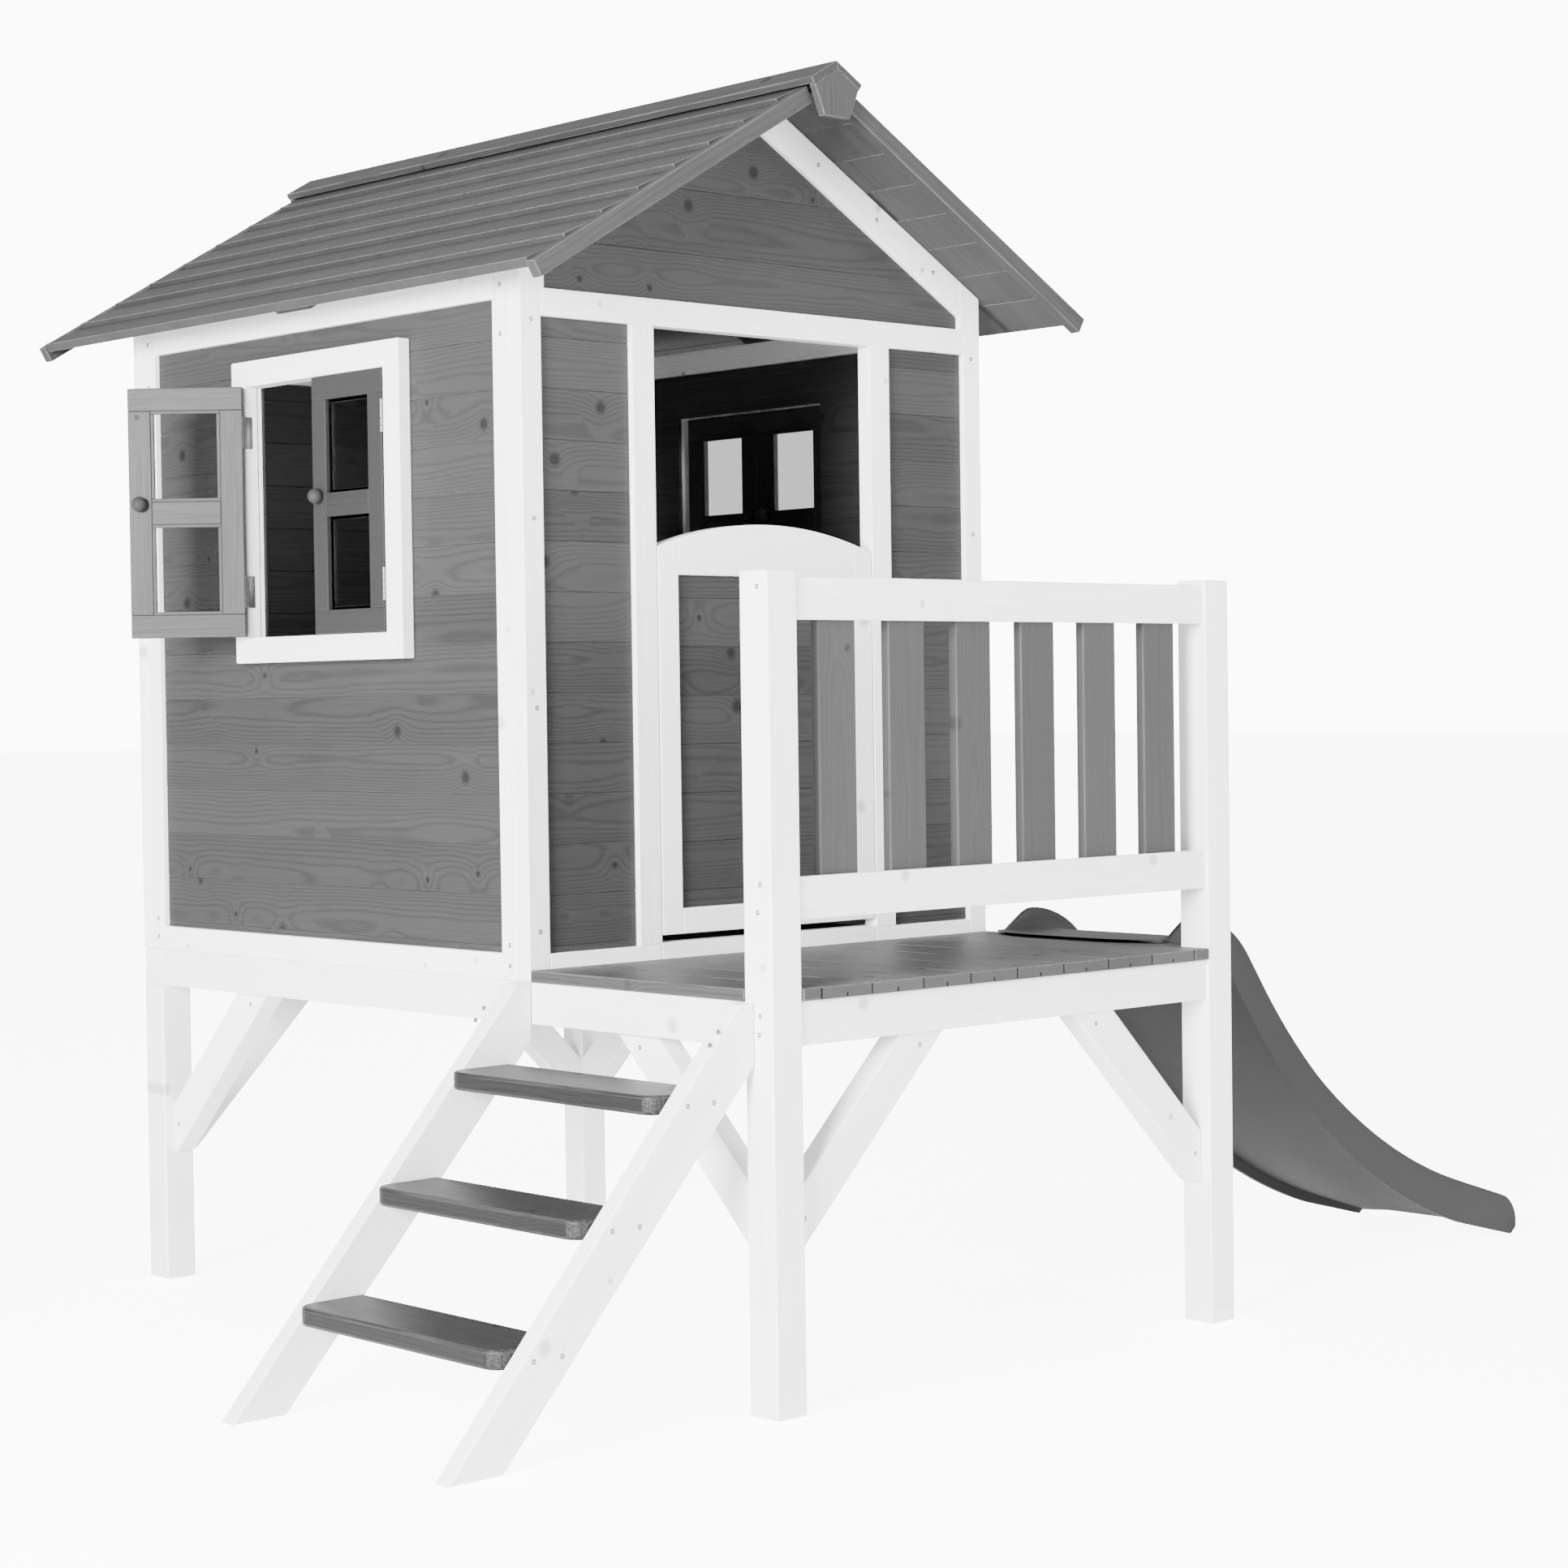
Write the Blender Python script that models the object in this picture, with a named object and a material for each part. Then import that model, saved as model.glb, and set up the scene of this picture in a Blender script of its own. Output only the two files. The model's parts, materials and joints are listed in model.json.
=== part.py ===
# A timber children's playhouse on legs: a gabled house with a half door and
# shuttered windows, a veranda with a railing, a ladder and a moulded slide.
# Metres, +Z up. The ladder is at -X, the slide at +X and the veranda at -Y.
# Pieces are drawn in the house's own frame: x from the left wall's outer face,
# y from the front wall's outer face, z from the ground.
import math

import bmesh
import bpy

# Overall sizes
HOUSE_WIDTH = 0.943
HOUSE_DEPTH = 1.035
VERANDA_DEPTH = 0.5086
BEAM_TOP = 0.549
SIDE_WALL_TOP = 1.566
RAFTER_FOOT = 1.5914          # top of the gable's rafter line at the wall's face
ROOF_PITCH = math.radians(30)
LADDER_REACH = 0.512
FIT = 0.0003                  # between pieces that touch
JOIN = 0.001                  # how far joined shapes run into each other

# Legs, beams and braces
POST = 0.054
POST_TOP = 1.117
BEAM_HEIGHT = 0.060
BEAM_WIDTH = 0.054
LAP_HEIGHT = 0.033            # the back beam's end, let into the side beams
BACK_BEAM_SET_IN = 0.002
BRACE_REACH = 0.284
BRACE_DROP = 0.276
BRACE_FACE = 0.085            # the brace's width measured along the leg
BRACE_THICK = 0.036
BRACE_SET_IN = 0.017
BRACE_NIB = 0.008
FRONT_SET_IN = 0.005          # front beam and rails stand behind the posts' face

# Floor and deck
BOARD_THICK = 0.017
DECK_NOSE = 0.0024
FLOOR_GAP = 0.0006

# Wall frames
FRAME_THICK = 0.027
FRAME_MEMBER = 0.038
TOP_BEAM = 0.040
SILL = 0.0385
FRONT_BEAM_TOP = 1.539
DOOR_OPENING = 0.444
DOOR_POST = 0.043
DOOR_SILL = 0.041
GABLE_POST = 0.045
RAFTER_WIDTH = 0.050
LINING_THICK = 0.013
LINING_SET_IN = 0.0085

# Windows and shutters
WINDOW_MIDDLE = 0.498         # from the front on the left, from the back on the right
WINDOW_WIDTH = 0.366
WINDOW_BOTTOM = 1.056
WINDOW_HEIGHT = 0.394
TRIM_WIDTH = 0.040
TRIM_PROUD = 0.014
SHUTTER_THICK = 0.016
SHUTTER_PROUD = 0.016
SHUTTER_GAP = 0.001
SHUTTER_MIDDLE_GAP = 0.0015
SHUTTER_STILE = 0.036
SHUTTER_RAIL = 0.036
SHUTTER_OPEN = math.radians(-135)
KNOB_RADIUS = 0.012
KNOB_STAND = 0.020
KNOB_NECK = 0.005
KNOB_NECK_SHARE = 0.75        # how far down its round head the neck starts
KNOB_SIDES = 12
KNOB_FROM_EDGE = 0.018
KNOB_ABOVE_MIDDLE = 0.014

# Half door
DOOR_GAP = 0.0015
DOOR_LIFT = 0.011
DOOR_SHOULDER = 1.176
DOOR_ARCH_RISE = 0.037
DOOR_TOP_RAIL = 0.042
DOOR_BOTTOM_RAIL = 0.038
DOOR_STILE = 0.040

# Roof
OVERHANG = 0.148
EAVE_REACH = 0.0835
ROOF_BOARDS = 8
BUTT_THICK = 0.015
HEAD_THICK = 0.007
RIDGE_GAP = 0.0165            # from the middle plane to the uppermost boards
BARGE_DEPTH = 0.019
BARGE_RISE = 0.0105
BARGE_DROP = 0.0115
BARGE_TOP_GAP = 0.040
BARGE_TOE = 0.0155
BARGE_PAST = 0.002            # how far it runs past the lowest board
BATTEN_WIDTH = 0.088
BATTEN_THICK = 0.020
BATTEN_REACH = 0.052
BATTEN_TOP_GAP = 0.033
CAP_WIDTH = 0.060
CAP_THICK = 0.011
CAP_RISE = 0.0264             # of the ridge above the roof boards' underside
PLATE_THICK = 0.013
PLATE_GAP = 0.004
PLATE_SHOULDER = 0.045
PLATE_FOOT = 0.026
PLATE_HEIGHT = 0.071

# Railing
RAIL_HEIGHT = 0.057
TOP_RAIL_BOTTOM = 1.052
BOTTOM_RAIL_BOTTOM = 0.656
RAIL_THICK = 0.027
RAIL_LIP = 0.0116
REBATE = 0.030
BALUSTERS = 6
BALUSTER_WIDTH = 0.070
BALUSTER_PITCH = 0.132

# Ladder
STRINGER_THICK = 0.028
STRINGER_CUT = 0.083          # its upright face against the beam
STRINGER_FLAT = 0.026
STRINGER_FOOT = 0.086
STRINGER_FROM_POST = 0.0194
STRINGER_LAP = 0.026          # how far the rear one runs past the house's corner
TREADS = 3
TOP_STEP = 0.129              # from the uppermost tread up to the deck
TREAD_THICK = 0.026
TREAD_DEPTH = 0.113
TREAD_NOSING = 0.030
TREAD_CORNER = 0.028

# Slide
SLIDE_MIDDLE = -0.219
SLIDE_TOP_HALF = 0.173
SLIDE_FOOT_HALF = 0.166
SLIDE_SKIN = 0.006
SLIDE_WALL = 0.009
SLIDE_WALL_HEIGHT = 0.033
SLIDE_END_WALL = 0.047
SLIDE_SKIRT = 0.021
SLIDE_COVE = 0.048            # width of the rounded foot of its walls
SLIDE_COVE_RISE = 0.0165
SLIDE_WALL_LEAN = 0.004
SLIDE_GROWTH_START = 0.45     # share of its length after which the walls grow
SLIDE_GROWTH_SPAN = 0.40
SLIDE_LIP = 0.0045
SLIDE_LIP_REACH = 0.063       # how far the entry lies on the deck
SLIDE_EDGE_GAP = 0.0015       # from the deck's edge to the skirts
SLIDE_ENTRY_BOW = 0.041
SLIDE_CREST_OUT = 0.052
SLIDE_CREST_RADIUS = 0.136
SLIDE_STEEPEST = math.radians(54)
SLIDE_RUNOUT_RADIUS = 1.10
SLIDE_FOOT_SLOPE = math.radians(17)
SLIDE_FOOT_RUN = 0.145
SLIDE_FOOT_HEIGHT = 0.014
SLIDE_FOOT_BOW = 0.066
SLIDE_FOOT_CORNER = 0.140
# Its cove, as shares of that width and rise, and the floor's points, as shares of its half
COVE_CURVE = ((0.08, 0.55), (0.28, 0.12), (1.0, 0.0))
FLOOR_POINTS = (0.66, 0.33)

# Places worked out from those sizes
MIDDLE = HOUSE_WIDTH / 2
DECK_TOP = BEAM_TOP + FIT + BOARD_THICK
BEAM_BOTTOM = BEAM_TOP - BEAM_HEIGHT
SLOPE = math.tan(ROOF_PITCH)
LEAN = 1 / math.cos(ROOF_PITCH)
POST_BACK = -VERANDA_DEPTH + POST
ROOF_FRONT = -OVERHANG
ROOF_BACK = HOUSE_DEPTH + OVERHANG
CAP_FRONT = ROOF_FRONT - PLATE_GAP - PLATE_THICK
CAP_BACK = ROOF_BACK + PLATE_GAP + PLATE_THICK
DOOR_LEFT = MIDDLE - DOOR_OPENING / 2
DOOR_RIGHT = MIDDLE + DOOR_OPENING / 2
WINDOW_TOP = WINDOW_BOTTOM + WINDOW_HEIGHT
SIDE_MEMBER_NEAR = FRAME_THICK + FRAME_MEMBER
SIDE_MEMBER_FAR = HOUSE_DEPTH - FRAME_THICK - FRAME_MEMBER


def rafter_line(x):
    """Height of the underside of the roof boards at a distance across the house."""
    return RAFTER_FOOT + SLOPE * min(x, HOUSE_WIDTH - x)


CAP_TOP = rafter_line(MIDDLE) + CAP_RISE


def window_span(side):
    """The nearest and farthest y of a side wall's window: one wall is the other turned round."""
    centre = WINDOW_MIDDLE if side == "left" else HOUSE_DEPTH - WINDOW_MIDDLE
    return centre - WINDOW_WIDTH / 2, centre + WINDOW_WIDTH / 2


# ---------------------------------------------------------------- the slide's path
def slide_path():
    """Points (x, z, slope) of the chute's floor, from the deck's edge to the ground."""
    start_height = DECK_TOP + FIT + SLIDE_LIP
    steep, foot = SLIDE_STEEPEST, SLIDE_FOOT_SLOPE
    crest_drop = SLIDE_CREST_RADIUS * (1 - math.cos(steep))
    runout_drop = SLIDE_RUNOUT_RADIUS * (math.cos(foot) - math.cos(steep))
    foot_drop = SLIDE_FOOT_RUN * math.tan(foot)
    straight_drop = start_height - SLIDE_FOOT_HEIGHT - crest_drop - runout_drop - foot_drop
    straight_run = straight_drop / math.tan(steep)
    x = HOUSE_WIDTH + SLIDE_CREST_OUT
    z = start_height
    deck_edge = HOUSE_WIDTH + SLIDE_EDGE_GAP
    lip_steps = (-SLIDE_LIP_REACH, -SLIDE_LIP_REACH * 0.65, -SLIDE_LIP_REACH * 0.3, 0.0, SLIDE_SKIRT)
    points = [(deck_edge + step, z, 0.0) for step in lip_steps]
    crest_steps = 7
    for step in range(crest_steps + 1):
        angle = steep * step / crest_steps
        points.append(
            (
                x + SLIDE_CREST_RADIUS * math.sin(angle),
                z - SLIDE_CREST_RADIUS * (1 - math.cos(angle)),
                angle,
            )
        )
    x = points[-1][0] + straight_run
    z = points[-1][1] - straight_drop
    points.append((x, z, steep))
    runout_steps = 11
    for step in range(1, runout_steps + 1):
        angle = steep + (foot - steep) * step / runout_steps
        points.append(
            (
                x + SLIDE_RUNOUT_RADIUS * (math.sin(steep) - math.sin(angle)),
                z - SLIDE_RUNOUT_RADIUS * (math.cos(angle) - math.cos(steep)),
                angle,
            )
        )
    x, z, _ = points[-1]
    for share in (0.3, 0.55, 0.72, 0.85, 0.93, 0.98, 1.0):
        run = SLIDE_FOOT_RUN * share
        points.append((x + run, z - run * math.tan(foot), foot))
    return points


SLIDE_END = slide_path()[-1][0] + SLIDE_FOOT_BOW

# The origin: the middle of the whole object's box, on the ground
LEFT_END = -LADDER_REACH
RIGHT_END = SLIDE_END
FRONT_END = -VERANDA_DEPTH - DECK_NOSE
BACK_END = CAP_BACK


# ---------------------------------------------------------------- scene and helpers
def clear_scene():
    for old in list(bpy.data.objects):
        bpy.data.objects.remove(old, do_unlink=True)


def paint(name, colour, roughness, metallic=0.0):
    material = bpy.data.materials.new(name)
    material.use_nodes = True
    shader = material.node_tree.nodes["Principled BSDF"]
    shader.inputs["Base Color"].default_value = (*colour, 1.0)
    shader.inputs["Roughness"].default_value = roughness
    shader.inputs["Metallic"].default_value = metallic
    return material


def add_object(name, bm, material, location, rotation=(0.0, 0.0, 0.0), helper=False):
    bmesh.ops.recalc_face_normals(bm, faces=bm.faces[:])
    mesh = bpy.data.meshes.new(name)
    bm.to_mesh(mesh)
    bm.free()
    mesh.materials.append(material)
    made = bpy.data.objects.new(name, mesh)
    bpy.context.scene.collection.objects.link(made)
    made.parent = house
    made.location = location
    made.rotation_euler = rotation
    if helper:
        made.hide_render = True
        made.display_type = "WIRE"
    return made


# How a flat outline is stood up: (u, v) and the thickness become these axes
FACING = {
    "across": (math.pi / 2, 0.0, 0.0),          # u = x, v = z, thickness along -y
    "along": (math.pi / 2, 0.0, math.pi / 2),   # u = y, v = z, thickness along +x
    "flat": (0.0, 0.0, 0.0),                    # u = x, v = y, thickness along +z
}


def plate(name, facing, start, thickness, outlines, material, helper=False):
    """A flat piece: outlines are closed loops of (u, v), the first one outside and the
    others holes, and start is where its lower face lies on the thickness axis."""
    bm = bmesh.new()
    for outline in outlines:
        corners = [bm.verts.new((u, v, 0.0)) for u, v in outline]
        for first, second in zip(corners, corners[1:] + corners[:1]):
            bm.edges.new((first, second))
    bmesh.ops.triangle_fill(bm, use_beauty=True, edges=bm.edges[:], normal=(0.0, 0.0, 1.0))
    extruded = bmesh.ops.extrude_face_region(bm, geom=bm.faces[:])
    raised = [item for item in extruded["geom"] if isinstance(item, bmesh.types.BMVert)]
    bmesh.ops.translate(bm, verts=raised, vec=(0.0, 0.0, thickness))
    places = {
        "across": (0.0, start + thickness, 0.0),
        "along": (start, 0.0, 0.0),
        "flat": (0.0, 0.0, start),
    }
    return add_object(name, bm, material, places[facing], FACING[facing], helper)


def rectangle(left, right, low, high):
    return [(left, low), (right, low), (right, high), (left, high)]


def box(name, lowest, highest, material, helper=False):
    outline = rectangle(lowest[0], highest[0], lowest[1], highest[1])
    return plate(name, "flat", lowest[2], highest[2] - lowest[2], [outline], material, helper)


def join(whole, others):
    """Adds helper solids to a piece, so that they are one body."""
    for other in others:
        union = whole.modifiers.new("join " + other.name, "BOOLEAN")
        union.operation = "UNION"
        union.solver = "EXACT"
        union.object = other


def mirrored(outline):
    """The same outline on the other side of the house's middle plane."""
    return [(HOUSE_WIDTH - u, v) for u, v in outline]


def drawn_in(outline_box, gap):
    """The box drawn in by a gap on each side, or let out if the gap is below nought."""
    left, right, low, high = outline_box
    return left + gap, right - gap, low + gap, high - gap


# ---------------------------------------------------------------- legs and frame
def make_legs():
    for side, left in (("left", 0.0), ("right", HOUSE_WIDTH - POST)):
        box(
            "leg_back_" + side,
            (left, HOUSE_DEPTH - POST, 0.0),
            (left + POST, HOUSE_DEPTH, BEAM_BOTTOM - FIT),
            white,
        )
        box("post_front_" + side, (left, -VERANDA_DEPTH, 0.0), (left + POST, POST_BACK, POST_TOP), white)


def brace_outline(face, way):
    """From a leg's face at u = face, reaching towards +u or -u."""
    top = BEAM_BOTTOM - FIT
    low = BEAM_BOTTOM - BRACE_DROP
    start = face + way * FIT
    high_reach = face + way * (BRACE_REACH - BRACE_FACE)
    return [
        (start, low + BRACE_FACE - BRACE_NIB),
        (start, low),
        (face + way * BRACE_NIB, low),
        (face + way * BRACE_REACH, top),
        (high_reach, top),
    ]


def make_braces():
    for side, leg_face, way in (("left", POST, 1), ("right", HOUSE_WIDTH - POST, -1)):
        inner = BRACE_SET_IN if way > 0 else HOUSE_WIDTH - BRACE_SET_IN - BRACE_THICK
        rear = HOUSE_DEPTH - BRACE_SET_IN - BRACE_THICK
        front = -VERANDA_DEPTH + BRACE_SET_IN
        crosswise = [brace_outline(leg_face, way)]
        forwards = [brace_outline(HOUSE_DEPTH - POST, -1)]
        backwards = [brace_outline(POST_BACK, 1)]
        plate("brace_back_" + side + "_x", "across", rear, BRACE_THICK, crosswise, white)
        plate("brace_back_" + side + "_y", "along", inner, BRACE_THICK, forwards, white)
        plate("brace_front_" + side + "_x", "across", front, BRACE_THICK, crosswise, white)
        plate("brace_front_" + side + "_y", "along", inner, BRACE_THICK, backwards, white)


def make_beams():
    lap = BEAM_TOP - LAP_HEIGHT
    back_face = HOUSE_DEPTH - BACK_BEAM_SET_IN
    back_front = back_face - BEAM_WIDTH
    side_outline = [
        (FIT / 2, BEAM_BOTTOM),
        (HOUSE_DEPTH, BEAM_BOTTOM),
        (HOUSE_DEPTH, lap - FIT),
        (back_front - FIT, lap - FIT),
        (back_front - FIT, BEAM_TOP),
        (FIT / 2, BEAM_TOP),
    ]
    deck_outline = rectangle(POST_BACK + FIT, -FIT / 2, BEAM_BOTTOM, BEAM_TOP)
    for side, left in (("left", 0.0), ("right", HOUSE_WIDTH - BEAM_WIDTH)):
        plate("beam_house_" + side, "along", left, BEAM_WIDTH, [side_outline], white)
        plate("beam_deck_" + side, "along", left, BEAM_WIDTH, [deck_outline], white)
    inner_left = BEAM_WIDTH + FIT
    inner_right = HOUSE_WIDTH - BEAM_WIDTH - FIT
    back_outline = [
        (0.0, lap),
        (inner_left, lap),
        (inner_left, BEAM_BOTTOM),
        (inner_right, BEAM_BOTTOM),
        (inner_right, lap),
        (HOUSE_WIDTH, lap),
        (HOUSE_WIDTH, BEAM_TOP),
        (0.0, BEAM_TOP),
    ]
    plate("beam_back", "across", back_front, BEAM_WIDTH, [back_outline], white)
    between = [rectangle(inner_left, inner_right, BEAM_BOTTOM, BEAM_TOP)]
    plate("beam_middle", "across", -BEAM_WIDTH / 2, BEAM_WIDTH, between, white)
    front = -VERANDA_DEPTH + FRONT_SET_IN
    between_posts = [rectangle(POST + FIT, HOUSE_WIDTH - POST - FIT, BEAM_BOTTOM, BEAM_TOP)]
    plate("beam_front", "across", front, POST - FRONT_SET_IN, between_posts, white)


def make_floors():
    inside = FRAME_THICK + FLOOR_GAP
    box(
        "house_floor",
        (inside, inside, BEAM_TOP + FIT),
        (HOUSE_WIDTH - inside, HOUSE_DEPTH - inside, DECK_TOP),
        grey_deck,
    )
    nose = -VERANDA_DEPTH - DECK_NOSE
    clear = POST + FIT
    half = [(0.0, -FIT), (0.0, POST_BACK + FIT), (clear, POST_BACK + FIT), (clear, nose)]
    outline = half + mirrored(half)[::-1]
    plate("deck_boards", "flat", BEAM_TOP + FIT, BOARD_THICK, [outline], grey_deck)


# ---------------------------------------------------------------- walls
def gable_hole(low, gap):
    """The triangle under the rafters, with short upright ends."""
    drop = RAFTER_WIDTH * LEAN + gap * LEAN
    left = GABLE_POST + gap
    top_left = RAFTER_FOOT - drop + SLOPE * left
    peak = RAFTER_FOOT - drop + SLOPE * MIDDLE
    half = [(left, low + gap), (left, top_left)]
    return half + [(MIDDLE, peak)] + mirrored(half)[::-1]


def gable_frame_outline():
    base = BEAM_TOP + FIT
    half = [(0.0, base), (0.0, RAFTER_FOOT - FIT * LEAN)]
    return half + [(MIDDLE, rafter_line(MIDDLE) - FIT * LEAN)] + mirrored(half)[::-1]


def make_gable_walls():
    sill_top = BEAM_TOP + SILL
    beam_bottom = FRONT_BEAM_TOP - TOP_BEAM
    left_panel = (FRAME_MEMBER, DOOR_LEFT - DOOR_POST, sill_top, beam_bottom)
    right_panel = (DOOR_RIGHT + DOOR_POST, HOUSE_WIDTH - FRAME_MEMBER, sill_top, beam_bottom)
    door = (DOOR_LEFT, DOOR_RIGHT, BEAM_TOP + DOOR_SILL, beam_bottom)
    whole = (FRAME_MEMBER, HOUSE_WIDTH - FRAME_MEMBER, sill_top, beam_bottom)
    rear = HOUSE_DEPTH - FRAME_THICK
    rear_lining = HOUSE_DEPTH - LINING_SET_IN - LINING_THICK
    gable = gable_hole(FRONT_BEAM_TOP, 0.0)
    gable_lining = [gable_hole(FRONT_BEAM_TOP, FIT)]

    front_holes = [rectangle(*hole) for hole in (left_panel, right_panel, door)]
    front_outlines = [gable_frame_outline(), gable] + front_holes
    plate("wall_frame_front", "across", 0.0, FRAME_THICK, front_outlines, white)
    back_outlines = [gable_frame_outline(), gable, rectangle(*whole)]
    plate("wall_frame_back", "across", rear, FRAME_THICK, back_outlines, white)

    panels = (
        ("wall_boards_front_left", left_panel, LINING_SET_IN),
        ("wall_boards_front_right", right_panel, LINING_SET_IN),
        ("wall_boards_back", whole, rear_lining),
    )
    for name, hole, start in panels:
        plate(name, "across", start, LINING_THICK, [rectangle(*drawn_in(hole, FIT))], grey_wall)
    plate("gable_boards_front", "across", LINING_SET_IN, LINING_THICK, gable_lining, grey_wall)
    plate("gable_boards_back", "across", rear_lining, LINING_THICK, gable_lining, grey_wall)


def make_side_walls():
    base = BEAM_TOP + FIT
    ends = (FRAME_THICK + FIT, HOUSE_DEPTH - FRAME_THICK - FIT)
    hole = (SIDE_MEMBER_NEAR, SIDE_MEMBER_FAR, BEAM_TOP + SILL, SIDE_WALL_TOP - TOP_BEAM)
    frame = [rectangle(*ends, base, SIDE_WALL_TOP), rectangle(*hole)]
    trim_thick = TRIM_PROUD + LINING_SET_IN - FIT
    for side in ("left", "right"):
        left = side == "left"
        near, far = window_span(side)
        window = rectangle(near, far, WINDOW_BOTTOM, WINDOW_TOP)
        around = drawn_in((near, far, WINDOW_BOTTOM, WINDOW_TOP), -TRIM_WIDTH)
        lining = [rectangle(*drawn_in(hole, FIT)), window]
        trim = [rectangle(*around), window]
        frame_start = 0.0 if left else HOUSE_WIDTH - FRAME_THICK
        lining_start = LINING_SET_IN if left else HOUSE_WIDTH - LINING_SET_IN - LINING_THICK
        trim_start = -TRIM_PROUD if left else HOUSE_WIDTH + TRIM_PROUD - trim_thick
        plate("wall_frame_" + side, "along", frame_start, FRAME_THICK, frame, white)
        plate("wall_boards_" + side, "along", lining_start, LINING_THICK, lining, grey_wall)
        plate("window_trim_" + side, "along", trim_start, trim_thick, trim, white)


# ---------------------------------------------------------------- shutters and door
def knob_profile():
    """Radius and height from the shutter's face, from its neck to its crown."""
    centre = KNOB_STAND - KNOB_RADIUS
    points = [(KNOB_NECK, -JOIN), (KNOB_NECK, centre - KNOB_RADIUS * KNOB_NECK_SHARE)]
    for degrees in (-15, 20, 55, 90):
        angle = math.radians(degrees)
        points.append((max(JOIN, KNOB_RADIUS * math.cos(angle)), centre + KNOB_RADIUS * math.sin(angle)))
    return points


def make_knob(name, shutter, across, up, out):
    """A turned knob on a shutter's face; out is +1 or -1 along the shutter's own x."""
    bm = bmesh.new()
    rings = []
    for radius, height in knob_profile():
        ring = []
        for side in range(KNOB_SIDES):
            turn = 2 * math.pi * side / KNOB_SIDES
            face = 0.0 if out < 0 else SHUTTER_THICK
            ring.append(
                bm.verts.new(
                    (face + out * height, across + radius * math.cos(turn), up + radius * math.sin(turn))
                )
            )
        rings.append(ring)
    for low, high in zip(rings, rings[1:]):
        for side in range(KNOB_SIDES):
            after = (side + 1) % KNOB_SIDES
            bm.faces.new((low[side], low[after], high[after], high[side]))
    bm.faces.new(rings[0][::-1])
    bm.faces.new(rings[-1])
    knob = add_object(name, bm, black, (0.0, 0.0, 0.0), helper=True)
    knob.parent = shutter
    return knob


def make_shutter(name, hinge_x, hinge_y, along, inward, turn):
    """A leaf with two panes. along is the way from its hinge to its free edge in y,
    inward the way from its outer face to its inner one in x, and turn its opening."""
    width = (WINDOW_WIDTH - 2 * SHUTTER_GAP - SHUTTER_MIDDLE_GAP) / 2
    low = WINDOW_BOTTOM + SHUTTER_GAP
    high = WINDOW_TOP - SHUTTER_GAP
    middle = (low + high) / 2
    near = along * SHUTTER_GAP
    far = along * (SHUTTER_GAP + width)
    left, right = min(near, far), max(near, far)
    panes = [
        rectangle(left + SHUTTER_STILE, right - SHUTTER_STILE, bottom, top)
        for bottom, top in (
            (low + SHUTTER_RAIL, middle - SHUTTER_RAIL / 2),
            (middle + SHUTTER_RAIL / 2, high - SHUTTER_RAIL),
        )
    ]
    start = 0.0 if inward > 0 else -SHUTTER_THICK
    leaf = plate(name, "along", start, SHUTTER_THICK, [rectangle(left, right, low, high)] + panes, grey_trim)
    # The outline stays upright, and the leaf's origin is on its hinge's axis.
    leaf.data.transform(leaf.matrix_basis)
    leaf.data.update()
    leaf.location = (hinge_x, hinge_y, 0.0)
    leaf.rotation_euler = (0.0, 0.0, turn)
    across = far - along * KNOB_FROM_EDGE
    up = middle + KNOB_ABOVE_MIDDLE
    knobs = []
    for face, out in (("outer", -inward), ("inner", inward)):
        knob = make_knob(name + "_knob_" + face, leaf, across, up, out)
        knob.location.x = start
        knobs.append(knob)
    join(leaf, knobs)


def make_shutters():
    left = -SHUTTER_PROUD
    right = HOUSE_WIDTH + SHUTTER_PROUD
    near, far = window_span("left")
    make_shutter("shutter_left_rear", left, far, -1, 1, SHUTTER_OPEN)
    make_shutter("shutter_left_front", left, near, 1, 1, 0.0)
    near, far = window_span("right")
    make_shutter("shutter_right_rear", right, far, -1, -1, 0.0)
    make_shutter("shutter_right_front", right, near, 1, -1, 0.0)


def make_door():
    left = DOOR_LEFT + DOOR_GAP
    right = DOOR_RIGHT - DOOR_GAP
    bottom = BEAM_TOP + DOOR_SILL + DOOR_LIFT
    half = (right - left) / 2
    radius = (half**2 + DOOR_ARCH_RISE**2) / (2 * DOOR_ARCH_RISE)
    centre = DOOR_SHOULDER + DOOR_ARCH_RISE - radius
    reach = math.asin(half / radius)
    steps = 12
    arch = []
    for step in range(steps + 1):
        angle = reach * (1 - 2 * step / steps)
        arch.append((MIDDLE + radius * math.sin(angle), centre + radius * math.cos(angle)))
    outline = [(left, bottom), (right, bottom)] + arch
    hole = (
        left + DOOR_STILE,
        right - DOOR_STILE,
        bottom + DOOR_BOTTOM_RAIL,
        DOOR_SHOULDER - DOOR_TOP_RAIL,
    )
    hinge = (DOOR_RIGHT - DOOR_GAP / 3, FRAME_THICK, 0.0)
    frame = plate("door_frame", "across", 0.0, FRAME_THICK, [outline, rectangle(*hole)], white)
    panel = [rectangle(*drawn_in(hole, FIT))]
    boards = plate("door_boards", "across", LINING_SET_IN, LINING_THICK, panel, grey_wall)
    for piece in (frame, boards):
        piece.data.transform(piece.matrix_basis)
        for vertex in piece.data.vertices:
            vertex.co.x -= hinge[0]
            vertex.co.y -= hinge[1]
        piece.data.update()
        piece.location = hinge
        piece.rotation_euler = (0.0, 0.0, 0.0)


# ---------------------------------------------------------------- roof
def roof_point(run, up):
    """A point on the left slope: run across from the wall's face, up square to the slope."""
    return run - up * math.sin(ROOF_PITCH), rafter_line(run) + up * math.cos(ROOF_PITCH)


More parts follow.
